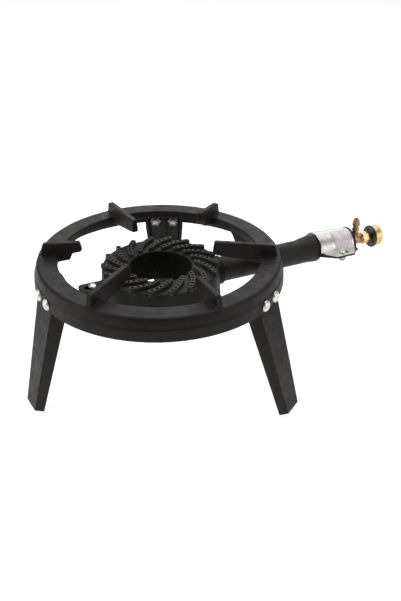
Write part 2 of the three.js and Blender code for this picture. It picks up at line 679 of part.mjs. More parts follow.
/** Dark disc with a proud rim and four petals, and the hub that holds the spindle. */
function knobCore() {
  const disc = rodAlongX(KNOB_DISC_R, KNOB_BACK + 0.9, CAP_START - GAP, 36);
  const rim = ringOf([
    [KNOB_DISC_R - 2, KNOB_BACK], [KNOB_DISC_R - 0.3, KNOB_BACK], [KNOB_DISC_R - 0.3, KNOB_BACK + 1.2],
    [KNOB_DISC_R - 2, KNOB_BACK + 1.2],
  ], 36).rotateY(Math.PI / 2);
  const hub = rodAlongX(6.5, KNOB_BACK - 0.6, 424, 24);
  const petals = [0, 1, 2, 3].map((i) => {
    const points = [[7, 0], [10, 2.6], [14, 2.6], [15.4, 0], [14, -2.6], [10, -2.6]];
    return slab(outline(points), -KNOB_BACK - 1.2, -KNOB_BACK - 0.2)
      .rotateY(-Math.PI / 2)
      .rotateX(radians(90 * i + 40));
  });
  const bore = rodAlongX(3.1, 400, 430, 18);
  return named('knob_core', cut(join(disc, rim, hub, ...petals), bore), darkCore);
}

/** Fluted cup on the knob's outer side. */
function knobCap() {
  const flutes = 24;
  const shape = new THREE.Shape(Array.from({ length: 2 * flutes }, (_, i) => {
    const r = i % 2 ? KNOB_R - 0.5 : KNOB_R;
    const angle = (Math.PI * i) / flutes;
    return new THREE.Vector2(r * Math.cos(angle), r * Math.sin(angle));
  }));
  const cup = new THREE.ExtrudeGeometry(shape, { depth: CAP_DEPTH, bevelEnabled: false })
    .rotateY(Math.PI / 2)
    .translate(CAP_START, 0, 0);
  const hollow = rodAlongX(16.4, CAP_START - 1, CAP_START + CAP_DEPTH - 2.4, 32);
  const hole = rodAlongX(2.0, CAP_START, CAP_START + CAP_DEPTH + 2, 12);
  return named('knob_cap', cut(cup, hollow, hole), goldCap);
}

function knobScrew() {
  const seat = CAP_START + CAP_DEPTH + GAP;
  const screw = turnedAlongX([
    [0, 416], [1.4, 416], [1.4, seat], [3.6, seat], [3.4, seat + 1.4], [0, seat + 2.2],
  ], 14);
  const slot = box(seat + 1, seat + 4, -5, 5, -0.5, 0.5);
  return named('knob_screw', cut(screw, slot), zincPlate);
}

// ------------------------------------------------------------- arm fixings
function armFixings() {
  const top = TUBE_DROP - ARM_DROP;
  const under = top - ARM_THICKNESS - GAP - 8 - GAP;
  const seat = top + GAP;
  const shank = rodAlongZ(3.9, under - 10, top + 2, 14);
  const head = turned([[0, seat], [7, seat], [7, seat + 1], [5.4, seat + 2.9], [0, seat + 3.8]], 20);
  const bolt = named('arm_bolt', join(shank, head), zincPlate);
  const nut = cut(hexAlongZ(13, under - 6.5, under), rodAlongZ(4.1, under - 10, under + 2, 14));
  const fixings = [bolt, named('arm_nut', nut, zincPlate)];
  fixings.forEach((piece) => piece.position.set(-ARM_BOLT_R, 0, 0));
  const setScrew = cut(
    join(rodAlongZ(4, -26, -TUBE_R - GAP, 14), hexAlongZ(13, -30.5, -25.2)),
    rodAlongZ(1, -36, -29.7, 6),
  );
  const tubeScrew = named('tube_set_screw', setScrew, zincPlate);
  tubeScrew.position.set(TUBE_SCREW + HEAD_SHIFT, 0, 0);
  return [...fixings, tubeScrew];
}

// ----------------------------------------------------------------- assembly
const burner = new THREE.Group();
burner.position.z = RING_TOP_Z - TUBE_DROP;
burner.rotation.z = radians(TUBE_AZIMUTH);
const head = burnerHead();
head.position.set(HEAD_SHIFT, 0, TUBE_DROP);
burner.add(head, mixingTube(), ...armFixings());
burner.add(airShutter(), ratingLabel(), shutterFixings(-1, 'front'), shutterFixings(1, 'back'));
burner.add(injector(), valveBody(), glandNut(), glandPacking(), valveSpindle(), spindleSeal());
burner.add(knobCore(), knobCap(), knobScrew());

const stand = new THREE.Group();
stand.name = 'propane_burner_stand';
stand.add(ringFrame(), burner);
for (const [name, azimuth] of Object.entries(LEG_AZIMUTHS)) {
  stand.add(leg(name, azimuth));
}

// The origin is the middle of the part's outline, on the floor.
stand.position.set(-OUTLINE_MIDDLE_X, -OUTLINE_MIDDLE_Y, 0);

export default stand;
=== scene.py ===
import math
import random

import bmesh
import bpy
import numpy as np
from mathutils import Matrix, Vector


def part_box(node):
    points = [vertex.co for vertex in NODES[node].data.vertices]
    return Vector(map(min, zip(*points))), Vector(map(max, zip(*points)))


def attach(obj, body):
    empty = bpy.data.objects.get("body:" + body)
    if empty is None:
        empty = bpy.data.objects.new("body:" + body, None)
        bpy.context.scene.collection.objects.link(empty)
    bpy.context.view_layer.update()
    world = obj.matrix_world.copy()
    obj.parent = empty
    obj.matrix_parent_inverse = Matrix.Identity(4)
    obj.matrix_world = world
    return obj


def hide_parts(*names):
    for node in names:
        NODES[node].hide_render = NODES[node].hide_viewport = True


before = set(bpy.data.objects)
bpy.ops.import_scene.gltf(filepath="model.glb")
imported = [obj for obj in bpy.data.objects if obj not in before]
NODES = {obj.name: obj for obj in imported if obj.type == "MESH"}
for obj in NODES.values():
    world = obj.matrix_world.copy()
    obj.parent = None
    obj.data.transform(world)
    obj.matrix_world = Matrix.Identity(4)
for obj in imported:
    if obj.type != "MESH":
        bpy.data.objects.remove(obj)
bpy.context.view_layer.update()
MM = 0.001

# ------------------------------------------------------------------ places
# Local frames are in millimetres. RING: on the ring's axis, z = 0 at the top
# of its flange. HEAD: on the burner head's axis, at the same height and turned
# with the tube. TUBE: x runs along the mixing tube, z up from its axis. STEM: z
# runs along the mixing tube.
# AXIS_X, AXIS_Y and TOP_Z are in metres, as the frame is.
ring_low, ring_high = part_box("ring_frame")
AXIS_X = (ring_low[0] + ring_high[0]) / 2
AXIS_Y = (ring_low[1] + ring_high[1]) / 2
TOP_Z = 0.218
TUBE_DROP = 52.5
TUBE_AZIMUTH = 25.0


def radial_frame(azimuth, drop=0.0):
    """Row-frame matrix of a frame on the ring's axis, turned to azimuth degrees."""
    place = Matrix.Translation((AXIS_X, AXIS_Y, TOP_Z - drop * MM))
    return place @ Matrix.Rotation(math.radians(azimuth), 4, "Z") @ Matrix.Scale(MM, 4)


RING = radial_frame(0.0)
TUBE = radial_frame(TUBE_AZIMUTH, TUBE_DROP)
ALONG_X = Matrix.Rotation(math.pi / 2, 4, "Y")
STEM = TUBE @ ALONG_X


# ----------------------------------------------------------- mesh building
def mesh_of(points, faces, matrix=Matrix.Identity(4), second=()):
    """A mesh from local points; the faces numbered in second take the piece's second finish."""
    mesh = bpy.data.meshes.new("piece")
    mesh.from_pydata([tuple(matrix @ Vector(p)) for p in points], [], faces)
    for index in second:
        mesh.polygons[index].material_index = 1
    bm = bmesh.new()
    bm.from_mesh(mesh)
    bmesh.ops.remove_doubles(bm, verts=bm.verts, dist=1e-7)
    bmesh.ops.recalc_face_normals(bm, faces=bm.faces)
    bm.to_mesh(mesh)
    bm.free()
    return mesh


def loose(mesh, name="work"):
    """A linked object with this mesh."""
    obj = bpy.data.objects.new(name, mesh)
    bpy.context.scene.collection.objects.link(obj)
    return obj


def settled(obj):
    """Replaces an object's mesh with what its modifiers make of it."""
    bpy.context.view_layer.update()
    graph = bpy.context.evaluated_depsgraph_get()
    mesh = bpy.data.meshes.new_from_object(obj.evaluated_get(graph))
    obj.modifiers.clear()
    obj.data = mesh
    return obj


def revolved(profile, segments, matrix):
    """Surface of revolution about local Z from (radius, height) points. It starts and
    ends on the axis, or else closes on itself."""
    points, rings, faces = [], [], []
    for radius, height in profile:
        if radius < 1e-6:
            rings.append([len(points)])
            points.append((0.0, 0.0, height))
            continue
        rings.append(list(range(len(points), len(points) + segments)))
        for i in range(segments):
            a = 2 * math.pi * i / segments
            points.append((radius * math.cos(a), radius * math.sin(a), height))
    closed = len(rings[0]) > 1
    pairs = list(zip(rings, rings[1:])) + ([(rings[-1], rings[0])] if closed else [])
    for low, high in pairs:
        for i in range(segments):
            j = (i + 1) % segments
            quad = [low[i % len(low)], low[j % len(low)], high[j % len(high)], high[i % len(high)]]
            face = list(dict.fromkeys(quad))
            if len(face) > 2:
                faces.append(face)
    return mesh_of(points, faces, matrix)


def softened(profile, radius, steps=3, closed=False):
    """Rounds the corners of a profile. Ends on the axis stay sharp."""
    count = len(profile)
    out = []
    for i, here in enumerate(profile):
        if not closed and i in (0, count - 1):
            out.append(here)
            continue
        p = np.array(here, float)
        before = np.array(profile[i - 1], float) - p
        after = np.array(profile[(i + 1) % count], float) - p
        reach = min(radius, 0.45 * np.linalg.norm(before), 0.45 * np.linalg.norm(after))
        a = p + before / np.linalg.norm(before) * reach
        b = p + after / np.linalg.norm(after) * reach
        for k in range(steps + 1):
            s = k / steps
            out.append(tuple((1 - s) ** 2 * a + 2 * s * (1 - s) * p + s * s * b))
    return out


def plate(outline, low, high, matrix):
    """Outline in local X and Y, raised from z = low to z = high."""
    n = len(outline)
    points = [(x, y, low) for x, y in outline] + [(x, y, high) for x, y in outline]
    faces = [list(range(n))[::-1], list(range(n, 2 * n))]
    faces += [[i, (i + 1) % n, n + (i + 1) % n, n + i] for i in range(n)]
    return mesh_of(points, faces, matrix)


def slab(x0, x1, y0, y1, z0, z1, matrix):
    """A box between two local corners."""
    return plate([(x0, y0), (x1, y0), (x1, y1), (x0, y1)], z0, z1, matrix)


def stadium(x0, x1, y, radius, steps=10):
    """Outline of a slot along X."""
    out = []
    for centre, start in ((x1, -90), (x0, 90)):
        for k in range(steps + 1):
            a = math.radians(start + 180 * k / steps)
            out.append((centre + radius * math.cos(a), y + radius * math.sin(a)))
    return out


def hexagonal(flats, height, bore, matrix, chamfer=0.55):
    """Hexagon nut or head on local Z, chamfered round both faces. A bore of 0 is solid."""
    segments = 72
    inner = flats / 2 * 0.97
    lip = chamfer * 0.6

    def section(reach):
        bevel = (reach - inner) * chamfer
        outside = [(inner, 0.0), (reach, bevel), (reach, height - bevel), (inner, height)]
        if not bore:
            return outside
        return [(bore, lip), (bore + lip, 0.0)] + outside + [(bore + lip, height), (bore, height - lip)]

    points, faces = [], []
    for i in range(segments):
        a = 2 * math.pi * i / segments
        off = (a + math.pi / 6) % (math.pi / 3) - math.pi / 6
        for r, z in section(flats / 2 / math.cos(off)):
            points.append((r * math.cos(a), r * math.sin(a), z))
    n = len(points) // segments
    for i in range(segments):
        j = (i + 1) % segments
        for k in range(n if bore else n - 1):
            m = (k + 1) % n
            faces.append([i * n + k, j * n + k, j * n + m, i * n + m])
    if not bore:
        faces.append([i * n for i in range(segments)][::-1])
        faces.append([i * n + n - 1 for i in range(segments)])
    return mesh_of(points, faces, matrix)


def threaded(radius, start, end, pitch=1.4, depth=0.5, tip=0.8):
    """Profile of a rod from start to end with thread crests, from the axis to the start side."""
    profile = [(0.0, end), (radius - tip, end)]
    steps = max(1, round((end - start) / pitch))
    for k in range(steps):
        z = end - tip - k * (end - start - tip) / steps
        profile += [(radius, z), (radius - depth, z - pitch * 0.45)]
    profile.append((radius, start))
    return profile


def carved(mesh, *tools, operation="DIFFERENCE"):
    """The mesh less the tools, or joined with them when the operation is UNION."""
    obj = loose(mesh)
    helpers = []
    for tool in tools:
        helper = loose(tool, "tool")
        helpers.append(helper)
        modifier = obj.modifiers.new("cut", "BOOLEAN")
        modifier.operation = operation
        modifier.solver = "EXACT"
        modifier.object = helper
    settled(obj)
    result = obj.data
    for item in [obj] + helpers:
        bpy.data.objects.remove(item)
    return result


def lofted(rings, segments, matrix):
    """Closed skin through round rings (station, radius, rise) that stand across local X."""
    points, faces = [], []
    for station, radius, rise in rings:
        for i in range(segments):
            a = 2 * math.pi * i / segments
            points.append((station, radius * math.cos(a), rise + radius * math.sin(a)))
    for k in range(len(rings) - 1):
        for i in range(segments):
            j = (i + 1) % segments
            low, high = k * segments, (k + 1) * segments
            faces.append([low + i, low + j, high + j, high + i])
    faces.append(list(range(segments))[::-1])
    faces.append([(len(rings) - 1) * segments + i for i in range(segments)])
    return mesh_of(points, faces, matrix)


def welded(*meshes):
    """Several closed shells in one mesh."""
    bm = bmesh.new()
    for mesh in meshes:
        bm.from_mesh(mesh)
    out = bpy.data.meshes.new("piece")
    bm.to_mesh(out)
    bm.free()
    return out


def cast(mesh, voxel, smooth):
    """One skin over overlapping shells, with the soft edges and fillets of a casting."""
    obj = loose(mesh)
    remesh = obj.modifiers.new("skin", "REMESH")
    remesh.mode = "VOXEL"
    remesh.voxel_size = voxel * MM
    soften = obj.modifiers.new("soften", "SMOOTH")
    soften.factor = 0.5
    soften.iterations = smooth
    settled(obj)
    result = obj.data
    bpy.data.objects.remove(obj)
    return result


def cad_mesh(node):
    """A copy of a node's own mesh, with its shared corners joined."""
    mesh = NODES[node].data.copy()
    bm = bmesh.new()
    bm.from_mesh(mesh)
    bmesh.ops.remove_doubles(bm, verts=bm.verts, dist=2e-6)
    bm.to_mesh(mesh)
    bm.free()
    mesh.materials.clear()
    return mesh


def round_again(mesh, matrix, segments, limit):
    """Moves the flats of a faceted solid of revolution about local Z out onto its true
    round surface, inside the limit radius."""
    inverse = np.array(matrix.inverted())
    flat = np.empty(len(mesh.vertices) * 3)
    mesh.vertices.foreach_get("co", flat)
    points = flat.reshape(-1, 3) @ inverse[:3, :3].T + inverse[:3, 3]
    radius = np.hypot(points[:, 0], points[:, 1])
    step = 2 * math.pi / segments
    off = (np.arctan2(points[:, 1], points[:, 0]) % step) - step / 2
    scale = np.where(radius < limit, np.cos(off) / math.cos(step / 2), 1.0)
    points[:, 0] *= scale
    points[:, 1] *= scale
    forward = np.array(matrix)
    back = points @ forward[:3, :3].T + forward[:3, 3]
    mesh.vertices.foreach_set("co", back.reshape(-1))
    mesh.update()
    return mesh


EDGE_ANGLE = 28.0


def piece(name, mesh, material, body, node, angle=35.0, bevel=0.0, steps=2):
    """A finished piece: smooth shading, an optional rounding of its edges, its body and finish."""
    mesh.name = name
    finish_of_face = [polygon.material_index for polygon in mesh.polygons]
    mesh.materials.clear()
    for finish in material if isinstance(material, list) else [material]:
        mesh.materials.append(finish)
    mesh.polygons.foreach_set("material_index", finish_of_face)
    obj = loose(mesh, name)
    for polygon in mesh.polygons:
        polygon.use_smooth = True
    if bevel:
        rounding = obj.modifiers.new("edges", "BEVEL")
        rounding.width = bevel * MM
        rounding.segments = steps
        rounding.limit_method = "ANGLE"
        rounding.angle_limit = math.radians(EDGE_ANGLE)
        settled(obj)
    sharp_edges(obj.data, angle)
    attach(obj, body)
    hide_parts(node)


def sharp_edges(mesh, angle):
    """Smooth faces, with an edge kept sharp where they meet at more than angle degrees."""
    bm = bmesh.new()
    bm.from_mesh(mesh)
    limit = math.radians(angle)
    for edge in bm.edges:
        edge.smooth = len(edge.link_faces) == 2 and edge.calc_face_angle(0.0) < limit
    for face in bm.faces:
        face.smooth = True
    bm.to_mesh(mesh)
    bm.free()


# --------------------------------------------------------------- materials
ALONG_TUBE = (0, 0, -math.radians(TUBE_AZIMUTH))


class Finish:
    """A small builder for procedural materials on object coordinates, in metres."""

    def __init__(self, name, color, roughness, metallic=0.0, **sockets):
        self.material = bpy.data.materials.new(name)
        self.material.use_nodes = True
        self.tree = self.material.node_tree
        self.shader = self.tree.nodes["Principled BSDF"]
        self.shader.inputs["Base Color"].default_value = (*color, 1.0)
        self.shader.inputs["Roughness"].default_value = roughness
        self.shader.inputs["Metallic"].default_value = metallic
        for key, value in sockets.items():
            self.shader.inputs[key.replace("_", " ")].default_value = value
        self.where = self.tree.nodes.new("ShaderNodeTexCoord").outputs["Object"]

    def link(self, output, target):
        self.tree.links.new(output, target)

    def noise(self, scale, detail=4.0, roughness=0.55, stretch=(1, 1, 1), turn=(0, 0, 0)):
        mapping = self.tree.nodes.new("ShaderNodeMapping")
        mapping.inputs["Scale"].default_value = stretch
        mapping.inputs["Rotation"].default_value = turn
        self.link(self.where, mapping.inputs["Vector"])
        node = self.tree.nodes.new("ShaderNodeTexNoise")
        node.inputs["Scale"].default_value = scale
        node.inputs["Detail"].default_value = detail
        node.inputs["Roughness"].default_value = roughness
        self.link(mapping.outputs["Vector"], node.inputs["Vector"])
        return node.outputs["Fac"]

    def ramp(self, value, *stops):
        node = self.tree.nodes.new("ShaderNodeValToRGB")
        elements = node.color_ramp.elements
        while len(elements) < len(stops):
            elements.new(0.5)
        for element, (place, color) in zip(elements, stops):
            element.position = place
            element.color = (*color, 1.0) if len(color) == 3 else color
        self.link(value, node.inputs["Fac"])
        return node.outputs["Color"]

    def spread(self, value, low, high, start=0.3, end=0.7):
        node = self.tree.nodes.new("ShaderNodeMapRange")
        for key, number in (("From Min", start), ("From Max", end), ("To Min", low), ("To Max", high)):
            node.inputs[key].default_value = number
        self.link(value, node.inputs["Value"])
        return node.outputs["Result"]

    def blend(self, factor, first, second, mode="MIX"):
        node = self.tree.nodes.new("ShaderNodeMix")
        node.data_type = "RGBA"
        node.blend_type = mode
        for value, target in ((factor, node.inputs[0]), (first, node.inputs[6]), (second, node.inputs[7])):
            if isinstance(value, bpy.types.NodeSocket):
                self.link(value, target)
            else:
                target.default_value = value if isinstance(value, float) else (*value, 1.0)
        return node.outputs[2]

    def edges(self, low=0.52, high=0.6):
        """1 on outer edges, 0 elsewhere."""
        node = self.tree.nodes.new("ShaderNodeNewGeometry")
        return self.spread(node.outputs["Pointiness"], 0.0, 1.0, low, high)

    def color(self, output):
        self.link(output, self.shader.inputs["Base Color"])

    def rough(self, output):
        self.link(output, self.shader.inputs["Roughness"])

    def bumps(self, *layers):
        """Each layer is (height output, strength, depth in metres)."""
        previous = None
        for height, strength, depth in layers:
            node = self.tree.nodes.new("ShaderNodeBump")
            node.inputs["Strength"].default_value = strength
            node.inputs["Distance"].default_value = depth
            self.link(height, node.inputs["Height"])
            if previous is not None:
                self.link(previous, node.inputs["Normal"])
            previous = node.outputs["Normal"]
        self.link(previous, self.shader.inputs["Normal"])


def iron(name, dark, light, roughness, edge_highlight, specular):
    """Black paint or scale on sand-cast iron: fine grain, slow unevenness, and a painted highlight along
    the outer edges.
    """
    finish = Finish(name, light, roughness, Specular_IOR_Level=specular)
    blotches = finish.noise(38.0, 5.0, 0.6)
    grain = finish.noise(1250.0, 3.0, 0.6)
    pits = finish.noise(420.0, 2.0, 0.5)
    base = finish.ramp(blotches, (0.3, dark), (0.72, light))
    speckle = finish.blend(finish.spread(grain, 0.0, 0.55, 0.5, 0.75), base, [c * 1.9 for c in light])
    # Painted highlight: the outer edges are lightened, in patches set by noise.
    highlight_breakup = finish.noise(150.0, 4.0, 0.7)
    edge_highlight_mask = finish.tree.nodes.new("ShaderNodeMath")
    edge_highlight_mask.operation = "MULTIPLY"
    finish.link(finish.edges(), edge_highlight_mask.inputs[0])
    finish.link(finish.spread(highlight_breakup, 0.1, 0.8, 0.4, 0.65), edge_highlight_mask.inputs[1])
    finish.color(finish.blend(edge_highlight_mask.outputs[0], speckle, edge_highlight))
    finish.rough(finish.spread(finish.noise(90.0, 4.0), roughness - 0.09, roughness + 0.12))
    waves = finish.noise(70.0, 2.0)
    finish.bumps((waves, 0.35, 0.0012), (pits, 0.35, 0.0004), (grain, 0.45, 0.00022))
    return finish.material


def plated(name, color, dull, roughness, metallic=1.0):
    """Bright plated or sheet steel: a little uneven, with fine scratches."""
    finish = Finish(name, color, roughness, metallic)
    cloud = finish.noise(160.0, 4.0)
    finish.color(finish.ramp(cloud, (0.32, dull), (0.62, color)))
    finish.rough(finish.spread(finish.noise(420.0, 3.0), roughness - 0.08, roughness + 0.14))
    scratch = finish.noise(900.0, 2.0, 0.5, stretch=(1.0, 0.12, 1.0), turn=(0.0, 0.0, 0.5))
    finish.bumps((cloud, 0.18, 0.0004), (scratch, 0.14, 0.0001))
    return finish.material


def brassy(name, color, dull, roughness, turned=0.2):
    """Machined brass: tarnish in clouds and faint tool rings."""
    finish = Finish(name, color, roughness, 1.0)
    cloud = finish.noise(230.0, 5.0, 0.65)
    finish.color(finish.ramp(cloud, (0.34, dull), (0.6, color)))
    finish.rough(finish.spread(finish.noise(520.0, 3.0), roughness - 0.07, roughness + 0.16))
    fine = finish.noise(2600.0, 2.0, 0.5, stretch=(1.0, 0.1, 0.1), turn=ALONG_TUBE)
    finish.bumps((cloud, 0.12, 0.0003), (fine, turned, 0.00008))
    return finish.material


def label_finish():
    """Pale foil with rows of faint marks that say nothing."""
    finish = Finish("label_foil", (0.66, 0.64, 0.69), 0.42, 0.15)
    turn = finish.tree.nodes.new("ShaderNodeMapping")
    turn.inputs["Rotation"].default_value = ALONG_TUBE
    finish.link(finish.where, turn.inputs["Vector"])
    rows = finish.tree.nodes.new("ShaderNodeTexWave")
    rows.wave_type = "BANDS"
    rows.bands_direction = "X"
    rows.inputs["Scale"].default_value = 105.0
    rows.inputs["Distortion"].default_value = 0.0
    finish.link(turn.outputs["Vector"], rows.inputs["Vector"])
    words = finish.noise(360.0, 3.0, 0.7, stretch=(0.6, 1.0, 1.0), turn=ALONG_TUBE)
    mask = finish.tree.nodes.new("ShaderNodeMath")
    mask.operation = "MULTIPLY"
    finish.link(finish.spread(rows.outputs["Fac"], 0.0, 1.0, 0.5, 0.68), mask.inputs[0])
    finish.link(finish.spread(words, 0.1, 0.9, 0.38, 0.48), mask.inputs[1])
    ground = finish.ramp(finish.noise(60.0, 3.0), (0.35, (0.76, 0.68, 0.72)), (0.65, (0.92, 0.85, 0.88)))
    finish.color(finish.blend(mask.outputs[0], ground, (0.27, 0.25, 0.31)))
    finish.rough(finish.spread(words, 0.34, 0.52))
    finish.bumps((words, 0.1, 0.0001))
    return finish.material


def painted_shade_finish():
    """Painted shade on the wall of the burner's hole and inside its ports: near black, in random patches.
    """
    finish = Finish("burner_painted_shade", (0.007, 0.0066, 0.006), 0.95, Specular_IOR_Level=0.04)
    patches = finish.noise(160.0)
    finish.color(finish.ramp(patches, (0.3, (0.004, 0.0038, 0.0035)), (0.7, (0.011, 0.0104, 0.0095))))
    return finish.material


def core_finish():
    """Dark moulded knob, smooth and a little olive."""
    finish = Finish("knob_core_finish", (0.03, 0.028, 0.012), 0.3, Specular_IOR_Level=0.35)
    patches = finish.noise(260.0)
    finish.color(finish.ramp(patches, (0.35, (0.012, 0.0115, 0.004)), (0.65, (0.05, 0.046, 0.018))))
    finish.rough(finish.spread(finish.noise(500.0), 0.22, 0.42))
    finish.bumps((finish.noise(700.0, 2.0), 0.15, 0.0002))
    return finish.material


def seal_finish():
    """Matt black rubber."""
    finish = Finish("seal_rubber", (0.02, 0.02, 0.02), 0.6)
    patches = finish.noise(900.0)
    finish.color(finish.ramp(patches, (0.3, (0.012, 0.012, 0.012)), (0.7, (0.03, 0.03, 0.03))))
    finish.bumps((finish.noise(2500.0, 2.0), 0.2, 0.0001))
    return finish.material


# The fourth colour of each iron is its painted edge highlight.
CAST = iron("stand_cast_iron", (0.0058, 0.0045, 0.0041), (0.0122, 0.0096, 0.0088), 0.5,
            (0.03, 0.0285, 0.027), 0.2)
BURNER = iron("burner_cast_iron", (0.006, 0.0056, 0.0052), (0.014, 0.013, 0.012), 0.58,
              (0.05, 0.047, 0.044), 0.2)
# A lighter copy of the burner's iron for the ribs: painted light on the ribs against the darker deck.
LIT_RIB_IRON = iron("burner_rib_iron_painted_lit", (0.013, 0.012, 0.0112), (0.032, 0.0298, 0.028), 0.55,
           (0.08, 0.075, 0.07), 0.26)
PIPE = iron("tube_cast_iron", (0.013, 0.0114, 0.0106), (0.027, 0.024, 0.0225), 0.52,
            (0.05, 0.046, 0.043), 0.2)
ZINC = plated("zinc_plate", (0.8, 0.79, 0.77), (0.5, 0.49, 0.47), 0.36)
NUT_ZINC = plated("zinc_nut", (0.4, 0.39, 0.38), (0.14, 0.136, 0.132), 0.28)
SHEET = plated("shutter_sheet", (0.64, 0.63, 0.6), (0.5, 0.49, 0.465), 0.42)
BRASS = brassy("valve_brass", (0.44, 0.25, 0.11), (0.2, 0.11, 0.05), 0.34)
BRIGHT_BRASS = brassy("bright_brass", (0.62, 0.42, 0.2), (0.46, 0.27, 0.11), 0.27)
GOLD = brassy("gold_cap", (0.69, 0.5, 0.235), (0.56, 0.38, 0.145), 0.34)
LABEL = label_finish()
PAINTED_SHADE = painted_shade_finish()
KNOB_CORE = core_finish()
SEAL = seal_finish()

# -------------------------------------------------------------- ring frame
RING_FACETS, RING_LIMIT_R = 60, 210.0
ring_skin = cast(cad_mesh("ring_frame"), voxel=1.15, smooth=3)
ring_mesh = round_again(ring_skin, RING, RING_FACETS, RING_LIMIT_R)
piece("ring_casting", ring_mesh, CAST, "stand", "ring_frame", angle=75)

# -------------------------------------------------------------------- legs
LEGS = {"right_leg": 330, "left_leg": 210, "rear_leg": 90}
BOLT_DROP, BOLT_ACROSS, BOLT_SEAT, WEB_INNER = 27.3, 16.0, 198.4, 186.3
LEG_BOLT_R, LEG_THREAD_START, LEG_BOLT_LENGTH = 4.9, 12.5, 23.3
LEG_NUT_FLATS, LEG_NUT_HEIGHT, LEG_NUT_BORE, LEG_NUT_GAP = 16.0, 8.2, 5.1, 0.3


def flattened(mesh):
    """The same solid with its flat faces whole."""
    bm = bmesh.new()
    bm.from_mesh(mesh)
    bmesh.ops.dissolve_limit(bm, angle_limit=math.radians(0.5), verts=bm.verts, edges=bm.edges)
    bm.to_mesh(mesh)
    bm.free()
    return mesh


def leg_bolt(matrix):
    """Dome head outside, threaded end inside; local Z points inwards."""
    head = [(0, -5.6), (3.2, -5.4), (6.1, -4.5), (8.2, -2.9), (9.2, -1.3), (9.4, -0.3)]
    shank = [(LEG_BOLT_R, -0.3)] + threaded(LEG_BOLT_R, LEG_THREAD_START, LEG_BOLT_LENGTH)[::-1]
    return revolved(softened(head + shank, 0.25, 2), 40, matrix)


for leg, azimuth in LEGS.items():
    piece(f"{leg}_casting", flattened(cad_mesh(leg)), CAST, "stand", leg, 40, 1.3, 3)
    place = radial_frame(azimuth)
    for tag, side in (("a", -1), ("b", 1)):
        seat = place @ Matrix.Translation((BOLT_SEAT, side * BOLT_ACROSS, -BOLT_DROP))
        inwards = seat @ Matrix.Rotation(-math.pi / 2, 4, "Y")
        bolt = leg_bolt(inwards)
        piece(f"{leg}_dome_bolt_{tag}", bolt, ZINC, "stand", f"{leg}_bolt_{tag}", 50)
        nut_at = inwards @ Matrix.Translation((0, 0, BOLT_SEAT - WEB_INNER + LEG_NUT_GAP))
        nut_mesh = hexagonal(LEG_NUT_FLATS, LEG_NUT_HEIGHT, LEG_NUT_BORE, nut_at)
        piece(f"{leg}_hex_nut_{tag}", nut_mesh, NUT_ZINC, "stand", f"{leg}_nut_{tag}", 25)

# ------------------------------------------------------------- burner head
DECK, BASE, HEAD_SHIFT = -21.5, -75.0, 1.5
HOLE_R, SHOULDER_R, SKIRT_R = 51.0, 94.2, 98.0
ARM_LOW, ARM_HIGH, ARM_SLOT_R = -41.0, -33.0, 4.7
ARM_SLOT_OUTER, ARM_SLOT_INNER = -125.0, -110.0
BOSS_START, BOSS_END, BOSS_BORE_R, BOSS_R = 88.0, 107.0, 21.4, 24.2
# Reach of the painted shade on the hole's wall: a margin on its radius and a depth below the deck.
SHADE_WALL, SHADE_START = 0.8, 1.5
HEAD = radial_frame(TUBE_AZIMUTH) @ Matrix.Translation((HEAD_SHIFT, 0.0, 0.0))


def mirrored(half):
    """An outline from one half of it, mirrored in y."""
    return half + [(x, -y) for x, y in reversed(half)]


def burner_arm():
    """Flat tongue away from the tube, with a slot for its bolt."""
    tip = [(-88, -18), (-98, -14), (-131, -14), (-134.5, -12.5), (-136, -9)]
    arm = plate(mirrored(tip), ARM_LOW, ARM_HIGH, HEAD)
    slot = stadium(ARM_SLOT_OUTER, ARM_SLOT_INNER, 0, ARM_SLOT_R)
    return carved(arm, plate(slot, ARM_LOW - 4, ARM_HIGH + 8, HEAD))


def burner_body():
    """Drum with a hole through it, its arm and the boss that holds the tube, as one casting."""
    wall = [(HOLE_R, BASE), (HOLE_R, DECK), (SHOULDER_R, DECK), (SKIRT_R, BASE)]
    drum = revolved(softened(wall, 1.4, 3, closed=True), 144, HEAD)
    collar = [(BOSS_BORE_R, BOSS_START), (BOSS_R, BOSS_START), (BOSS_R, BOSS_END), (BOSS_BORE_R, BOSS_END)]
    boss_at = HEAD @ Matrix.Translation((0, 0, -TUBE_DROP)) @ ALONG_X
    boss = revolved(softened(collar, 1.0, 3, closed=True), 64, boss_at)
    skin = cast(welded(drum, burner_arm(), boss), voxel=1.1, smooth=2)
    # Faces of the hole's wall below the deck take the second finish, a painted shade.
    middle = HEAD.translation
    for polygon in skin.polygons:
        out = polygon.center - middle
        inside = math.hypot(out.x, out.y) < (HOLE_R + SHADE_WALL) * MM
        if inside and out.z < (DECK - SHADE_START) * MM:
            polygon.material_index = 1
    return skin


RIBS, PORTS, CELL_STEPS = 18, 6, 4
RIB_START_R, RIB_REACH, RIB_SWEEP, RIB_BOW = 56.6, 35.7, 26.4, 1.08
RIB_TOP_HALF, RIB_HEIGHT, RIB_GRAIN = 3.1, 6.0, 0.08
FIRST_RIB = 88.2


def rib_line(s):
    """Middle line of a rib, from s = 0 at its inner end to s = 1 at its outer end."""
    r = RIB_START_R + RIB_REACH * s
    a = -math.radians(RIB_SWEEP) * max(s, 0.0) ** RIB_BOW
    return Vector((r * math.cos(a), r * math.sin(a)))


def rib_stations(ends):
    """(place along the rib, width) of each cross section; ends holds how it narrows."""
    steps = PORTS * CELL_STEPS
    inner = [(-reach, width) for reach, width in ends]
    middle = [(k / steps, 1.0) for k in range(steps + 1)]
    outer = [(1.0 + reach * 0.55, width) for reach, width in reversed(ends)]
    return inner + middle + outer


def rib_section():
    """(across, height) points over the top of a rib and how many of them are on one side."""
    side = [(4.4, -2.0), (4.1, 0.0), (3.95, 4.6), (3.6, 5.6), (RIB_TOP_HALF, RIB_HEIGHT)]
    top = [(RIB_TOP_HALF * f, RIB_HEIGHT) for f in (0.5, 0.0, -0.5)]
    return side + top + [(-u, z) for u, z in reversed(side)], len(side)


